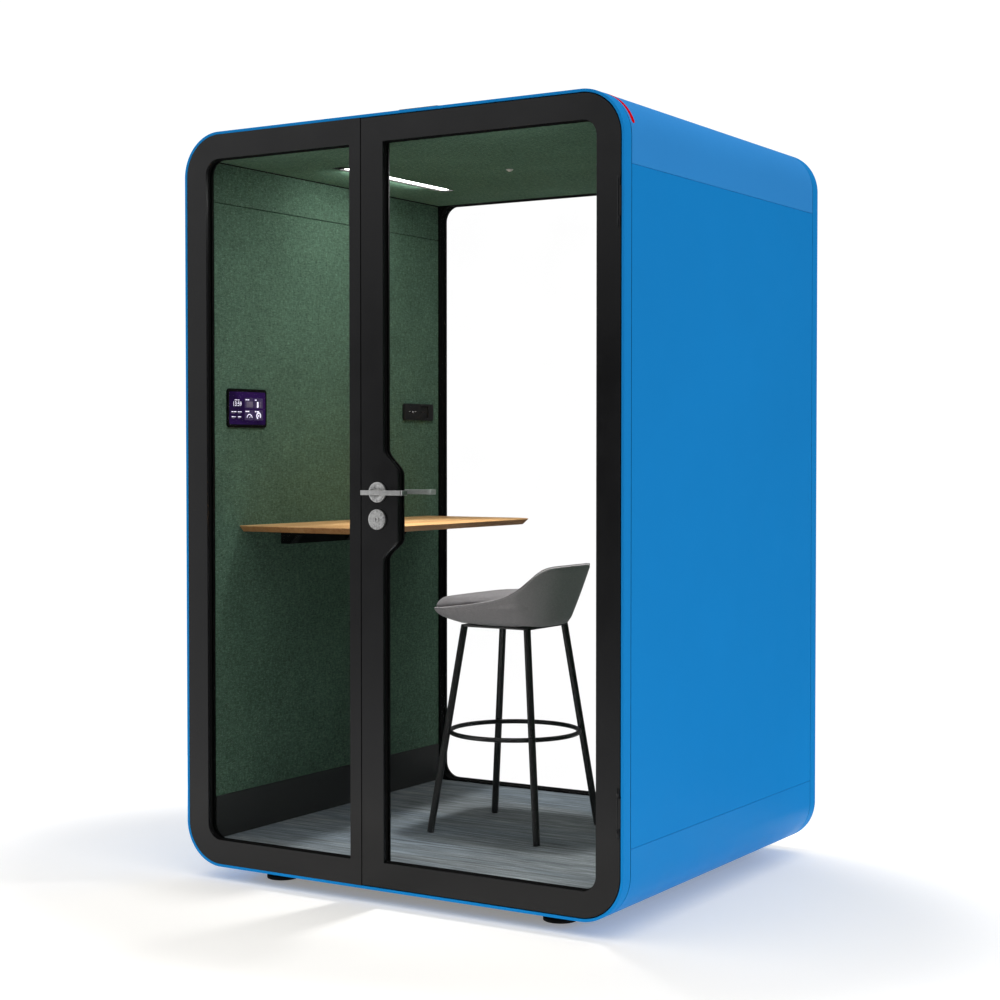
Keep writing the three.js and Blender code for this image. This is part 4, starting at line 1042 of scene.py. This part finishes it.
def loop_smooth(a, k):
    for _ in range(k):
        a = 0.5 * a + 0.25 * (np.roll(a, 1, 0) + np.roll(a, -1, 0))
    return a


NU = 208
plan = [(212.0, 0.0)] + arc(90, 68, 122, 0, 90, 24) + [(90 - 235.0 * i / 20, 190.0) for i in range(1, 20)]
plan += arc(-145, 130, 60, 90, 180, 16) + [(-205.0, 130 - 260.0 * i / 16) for i in range(1, 16)]
plan += arc(-145, -130, 60, 180, 270, 16) + [(-145 + 235.0 * i / 20, -190.0) for i in range(1, 20)] + arc(90, -68, 122, -90, 0, 24)[:-1]
rim = loop_smooth(even(plan, NU), 14)
rim[:, 0] *= 212.0 / rim[:, 0].max()
rim[:, 1] *= 190.0 / rim[:, 1].max()
rim[:, 0] -= 6.0 * np.clip(-rim[:, 0] - 120, 0, 90) / 90 * (1 - (rim[:, 1] / 190) ** 2)
zrim = loop_smooth(np.interp(rim[:, 0], [a for a, _ in RIM], [z for _, z in RIM])[:, None], 10)[:, 0]
tang = np.roll(rim, -1, 0) - np.roll(rim, 1, 0)
tang /= np.linalg.norm(tang, axis=1)[:, None]
outw = np.stack([tang[:, 1], -tang[:, 0]], 1)
foot = loop_smooth(np.stack([rim[:, 0] * 0.695 + 17.6, rim[:, 1] * 0.684], 1), 160)
frontness = np.clip((60 - rim[:, 0]) / 200, 0, 1)
high = np.clip((zrim - 792) / 95, 0, 1)
high = high * high * (3 - 2 * high)
thick = 9 + 13 * high


def seat_loop(xy, z):
    return [(SX + float(a[0]), SY + float(a[1]), float(b)) for a, b in zip(xy, np.broadcast_to(z, (len(xy),)))]


bucket = [seat_loop(foot * 0.05 + 0.0, SEAT_Z), seat_loop(foot * 0.5, SEAT_Z), seat_loop(foot * 0.78, SEAT_Z), seat_loop(foot * 0.87, SEAT_Z + 0.9),
          seat_loop(foot * 0.94, SEAT_Z + 2.8), seat_loop(foot * 0.985, SEAT_Z + 5.6)]
for t in (0.13, 0.19, 0.25, 0.36, 0.48, 0.6, 0.72, 0.83, 0.92):
    g = t + (0.03 + 0.21 * frontness) * math.sin(math.pi * t)
    tip = 1.0 - 0.35 * thick / (zrim - SEAT_Z)
    bucket.append(seat_loop(foot + (rim - foot) * (g)[:, None], SEAT_Z + (zrim - SEAT_Z) * t * tip))
for a in (0, 22, 45, 68, 90, 112, 135, 158, 180):
    ca, sa = math.cos(math.radians(a)), math.sin(math.radians(a))
    bucket.append(seat_loop(rim - outw * (thick * (0.5 - 0.5 * ca))[:, None], zrim - 0.35 * thick * (1 - sa)))
zin = np.minimum(zrim - 0.6 * thick, 792)
wall_in = rim - outw * thick[:, None]
for t in (0.2, 0.45, 0.75, 1.0):
    bucket.append(seat_loop(wall_in - outw * (23 * t * high + 1.5 * t)[:, None],
                            (zrim - 0.35 * thick) * (1 - t) + np.minimum(zin, 770) * t))
inner_last = wall_in - outw * (23 * high + 1.5)[:, None]
bucket += [seat_loop(inner_last * 0.8, 762.0), seat_loop(inner_last * 0.1, 762.0)]
shell = piece("stool_shell", loft(bucket), M_SEAT, "stool", replaces=["stool_seat"], sharp=80)

# welt sewn along the rim
welt = rim + outw * 0.4
wz = zrim - 0.30 * thick * (1 - high) - 0.02 * thick
weltp = [(SX + float(a[0] - o[0] * h), SY + float(a[1] - o[1] * h), float(z)) for a, o, h, z in
         zip(welt, outw, 0.30 * thick * 0 + 1.6, wz + 0.8)]
piece("stool_welt", tube(weltp, 1.3, 12, closed=True), M_PIPE, "stool", sharp=80)

# seat pad: rounded front and sides, crowned top, tucked against the back
nose = np.clip((-rim[:, 0] - 70) / 90, 0, 1)
edge = rim - outw * (7.0 - 6.8 * nose + (thick + 17) * high)[:, None]
zs_ = np.minimum(zrim - 0.6, 786)
core = np.array([-6.0, 0.0])
pad = [seat_loop(core + (edge - core) * 0.05, 760.0), seat_loop(core + (edge - core) * 0.6, 760.0), seat_loop(core + (edge - core) * 0.93, zs_ - 4)]


def pad_top(xy):
    return 799.0 + 0.062 * (xy[:, 0] + 100)


roll = 34.0
for a in (0, 12, 25, 38, 52, 66, 80, 90):
    k = roll * (1 - math.cos(math.radians(a)))
    xy = edge - outw * k
    pad.append(seat_loop(xy, zs_ + (pad_top(xy) - zs_) * math.sin(math.radians(a)) ** 0.9))
inner = edge - outw * roll
for t in (0.16, 0.34, 0.52, 0.7, 0.86, 0.97):
    xy = inner + (core - inner) * t
    pad.append(seat_loop(xy, pad_top(xy) + 9.0 * (1 - (1 - t) ** 2)))
# the pad takes the darker fabric copy, painted shade
cushion = piece("stool_pad", loft(pad), M_PAD, "stool", replaces=["stool_seat"], sharp=80)


def puff(ob, voxel=0.005, pressure=4.0, cap=0.006, frames=20):
    """Fills the pad: light inflation of the cover, held to a few millimetres."""
    r = ob.modifiers.new("r", "REMESH")
    r.mode, r.voxel_size = "VOXEL", voxel
    settle(ob)
    n = len(ob.data.vertices)
    rest = np.zeros(n * 3)
    ob.data.vertices.foreach_get("co", rest)
    c = ob.modifiers.new("c", "CLOTH")
    c.settings.use_pressure = True
    c.settings.uniform_pressure_force = pressure
    c.settings.effector_weights.gravity = 0.0
    c.settings.quality = 4
    c.collision_settings.use_collision = False
    for i in range(1, frames + 1):
        scene.frame_set(i)
    settle(ob)
    scene.frame_set(1)
    now = np.zeros(n * 3)
    ob.data.vertices.foreach_get("co", now)
    d = (now - rest).reshape(-1, 3)
    ln = np.linalg.norm(d, axis=1)
    d *= np.where(ln > cap, cap / np.maximum(ln, 1e-9), 1.0)[:, None]
    ob.data.vertices.foreach_set("co", (rest.reshape(-1, 3) + d).ravel())
    s = ob.modifiers.new("s", "SMOOTH")
    s.iterations, s.factor = 6, 0.5
    u = ob.modifiers.new("u", "SUBSURF")
    u.levels = u.render_levels = 1
    settle(ob)
    ob.data.shade_smooth()


puff(cushion)

# ============================================================================= stage
fm, fnt, fb = fresh("studio_floor")
fw = where(fnt)
links(fnt, fb, Base_Color=ramp(fnt, noise(fnt, fw, 0.6, 3), [(0.3, (0.85, 0.835, 0.81, 1)), (0.7, (0.87, 0.855, 0.83, 1))]))
links(fnt, fb, Roughness=span(fnt, noise(fnt, fw, 2.0, 3), 0.75, 0.85))
sets(fb, Specular_IOR_Level=0.1, Emission_Color=(1.0, 0.98, 0.95, 1))
# painted light: the floor's emission rises away from the booth, so the floor brightens further out
reach = nd(fnt, "ShaderNodeVectorMath", {0: nd(fnt, "ShaderNodeVectorMath", {0: where(fnt, (0.55, 0.85, 0.0)), 1: (0.0, 0.30, 0.0)}).outputs[0]},
           operation="LENGTH").outputs["Value"]
links(fnt, fb, Emission_Strength=nd(fnt, "ShaderNodeMapRange", {"Value": reach, "From Min": 0.75, "From Max": 1.2, "To Min": 0.25, "To Max": 0.62},
                                    interpolation_type="SMOOTHSTEP").outputs[0])
fme = bpy.data.meshes.new("studio_floor")
fme.from_pydata([(x, y, 0) for x, y in rrect(-2.7, 3.7, -1.85, 1.1, 0.6, n=16)], [], [tuple(range(68))])
fme.materials.append(fm)
floor = bpy.data.objects.new("studio_floor", fme)
scene.collection.objects.link(floor)

world = bpy.data.worlds.new("studio")
scene.world = world
world.use_nodes = True
wt = world.node_tree
wt.nodes.clear()
wo = wt.nodes.new("ShaderNodeOutputWorld")
wc = nd(wt, "ShaderNodeBackground", {"Color": (1, 1, 1, 1), "Strength": 1.06})
geo = nd(wt, "ShaderNodeTexCoord")
sep = nd(wt, "ShaderNodeSeparateXYZ", {"Vector": geo.outputs["Generated"]})
up = sep.outputs[2]
sky = ramp(wt, maths(wt, "ADD", maths(wt, "MULTIPLY", up, 0.5), 0.5),
           [(0.0, (0.75, 0.755, 0.77, 1)), (0.5, (0.98, 0.985, 1.0, 1)), (0.75, (1.02, 1.02, 1.02, 1)), (1.0, (1.04, 1.04, 1.04, 1))])


def patch(lo, hi, a, b, value):
    return nd(wt, "ShaderNodeMapRange", {"Value": value, "From Min": lo, "From Max": hi, "To Min": a, "To Max": b},
              interpolation_type="SMOOTHSTEP").outputs[0]


# darker in front and behind at low angles, so that the cabin keeps its own light
low = patch(0.42, 0.74, 1.0, 0.0, maths(wt, "ABSOLUTE", up))
sides = patch(0.40, 0.72, 0.0, 1.0, maths(wt, "ABSOLUTE", sep.outputs[1]))
rear_side = patch(0.18, 0.50, 0.0, 1.0, sep.outputs[1])
rear_low = patch(0.55, 0.85, 1.0, 0.0, maths(wt, "ABSOLUTE", up))
sky = blendc(wt, maths(wt, "MAXIMUM", maths(wt, "MULTIPLY", low, sides), maths(wt, "MULTIPLY", rear_low, rear_side)), sky, (0.10, 0.10, 0.104, 1))
# a white board to the front left, and a black flag ahead at eye height
ahead = maths(wt, "ADD", maths(wt, "MULTIPLY", sep.outputs[0], -0.105), maths(wt, "MULTIPLY", sep.outputs[1], -0.9945))
facing = patch(0.925, 0.965, 0.0, 1.0, maths(wt, "ADD", maths(wt, "MULTIPLY", sep.outputs[0], -0.602), maths(wt, "MULTIPLY", sep.outputs[1], -0.799)))
board = maths(wt, "MULTIPLY", facing, patch(0.30, 0.42, 1.0, 0.0, maths(wt, "ABSOLUTE", up)))
sky = blendc(wt, board, sky, (1.15, 1.15, 1.16, 1))
flag = maths(wt, "MULTIPLY", patch(0.815, 0.862, 0.0, 1.0, ahead), patch(0.085, 0.16, 1.0, 0.0, maths(wt, "ABSOLUTE", up)))
sky = blendc(wt, flag, sky, (0.03, 0.03, 0.032, 1))
wl = nd(wt, "ShaderNodeBackground", {"Color": sky, "Strength": 1.0})
lp = nd(wt, "ShaderNodeLightPath")
wm = nd(wt, "ShaderNodeMixShader", {0: lp.outputs["Is Camera Ray"], 1: wl.outputs[0], 2: wc.outputs[0]})
wt.links.new(wm.outputs[0], wo.inputs[0])


def area(name, place, aim, size, power, colour=(1, 1, 1)):
    l = bpy.data.lights.new(name, "AREA")
    l.shape, l.size, l.size_y, l.energy, l.color = "RECTANGLE", size[0], size[1], power, colour
    o = bpy.data.objects.new(name, l)
    o.location = place
    o.rotation_euler = (Vector(aim) - Vector(place)).to_track_quat("-Z", "Y").to_euler()
    o.visible_camera = False
    scene.collection.objects.link(o)
    return o


area("overhead_softbox", (0.6, -0.8, 6.0), (0.2, -0.2, 0), (7, 7), 74)
spot = bpy.data.lights.new("cabin_downlight", "SPOT")
spot.energy, spot.spot_size, spot.spot_blend, spot.shadow_soft_size = 61, math.radians(64), 0.7, 0.06
so2 = bpy.data.objects.new("cabin_downlight", spot)
so2.location = P(0, 0, 2105)
scene.collection.objects.link(so2)
area("cabin_fill", P(0, -120, 2108), P(0, -120, 0), (0.12, 0.12), 7.0)
area("bar_wash", P(-452, -20, 2108), P(-675, -20, 1960), (0.44, 0.03), 0.5).visible_glossy = False

cam = bpy.data.cameras.new("camera")
cam.lens, cam.sensor_width, cam.clip_start, cam.clip_end = 67.149, 36.0, 0.05, 200.0
camo = bpy.data.objects.new("camera", cam)
yaw, pitch = math.radians(31.971), math.radians(-1.4813)
camo.location = (3.04556, -4.90338, 1.28736)
look = Vector((-math.sin(yaw) * math.cos(pitch), math.cos(yaw) * math.cos(pitch), math.sin(pitch)))
camo.rotation_euler = look.to_track_quat("-Z", "Y").to_euler()
scene.collection.objects.link(camo)
scene.camera = camo

bpy.context.view_layer.update()
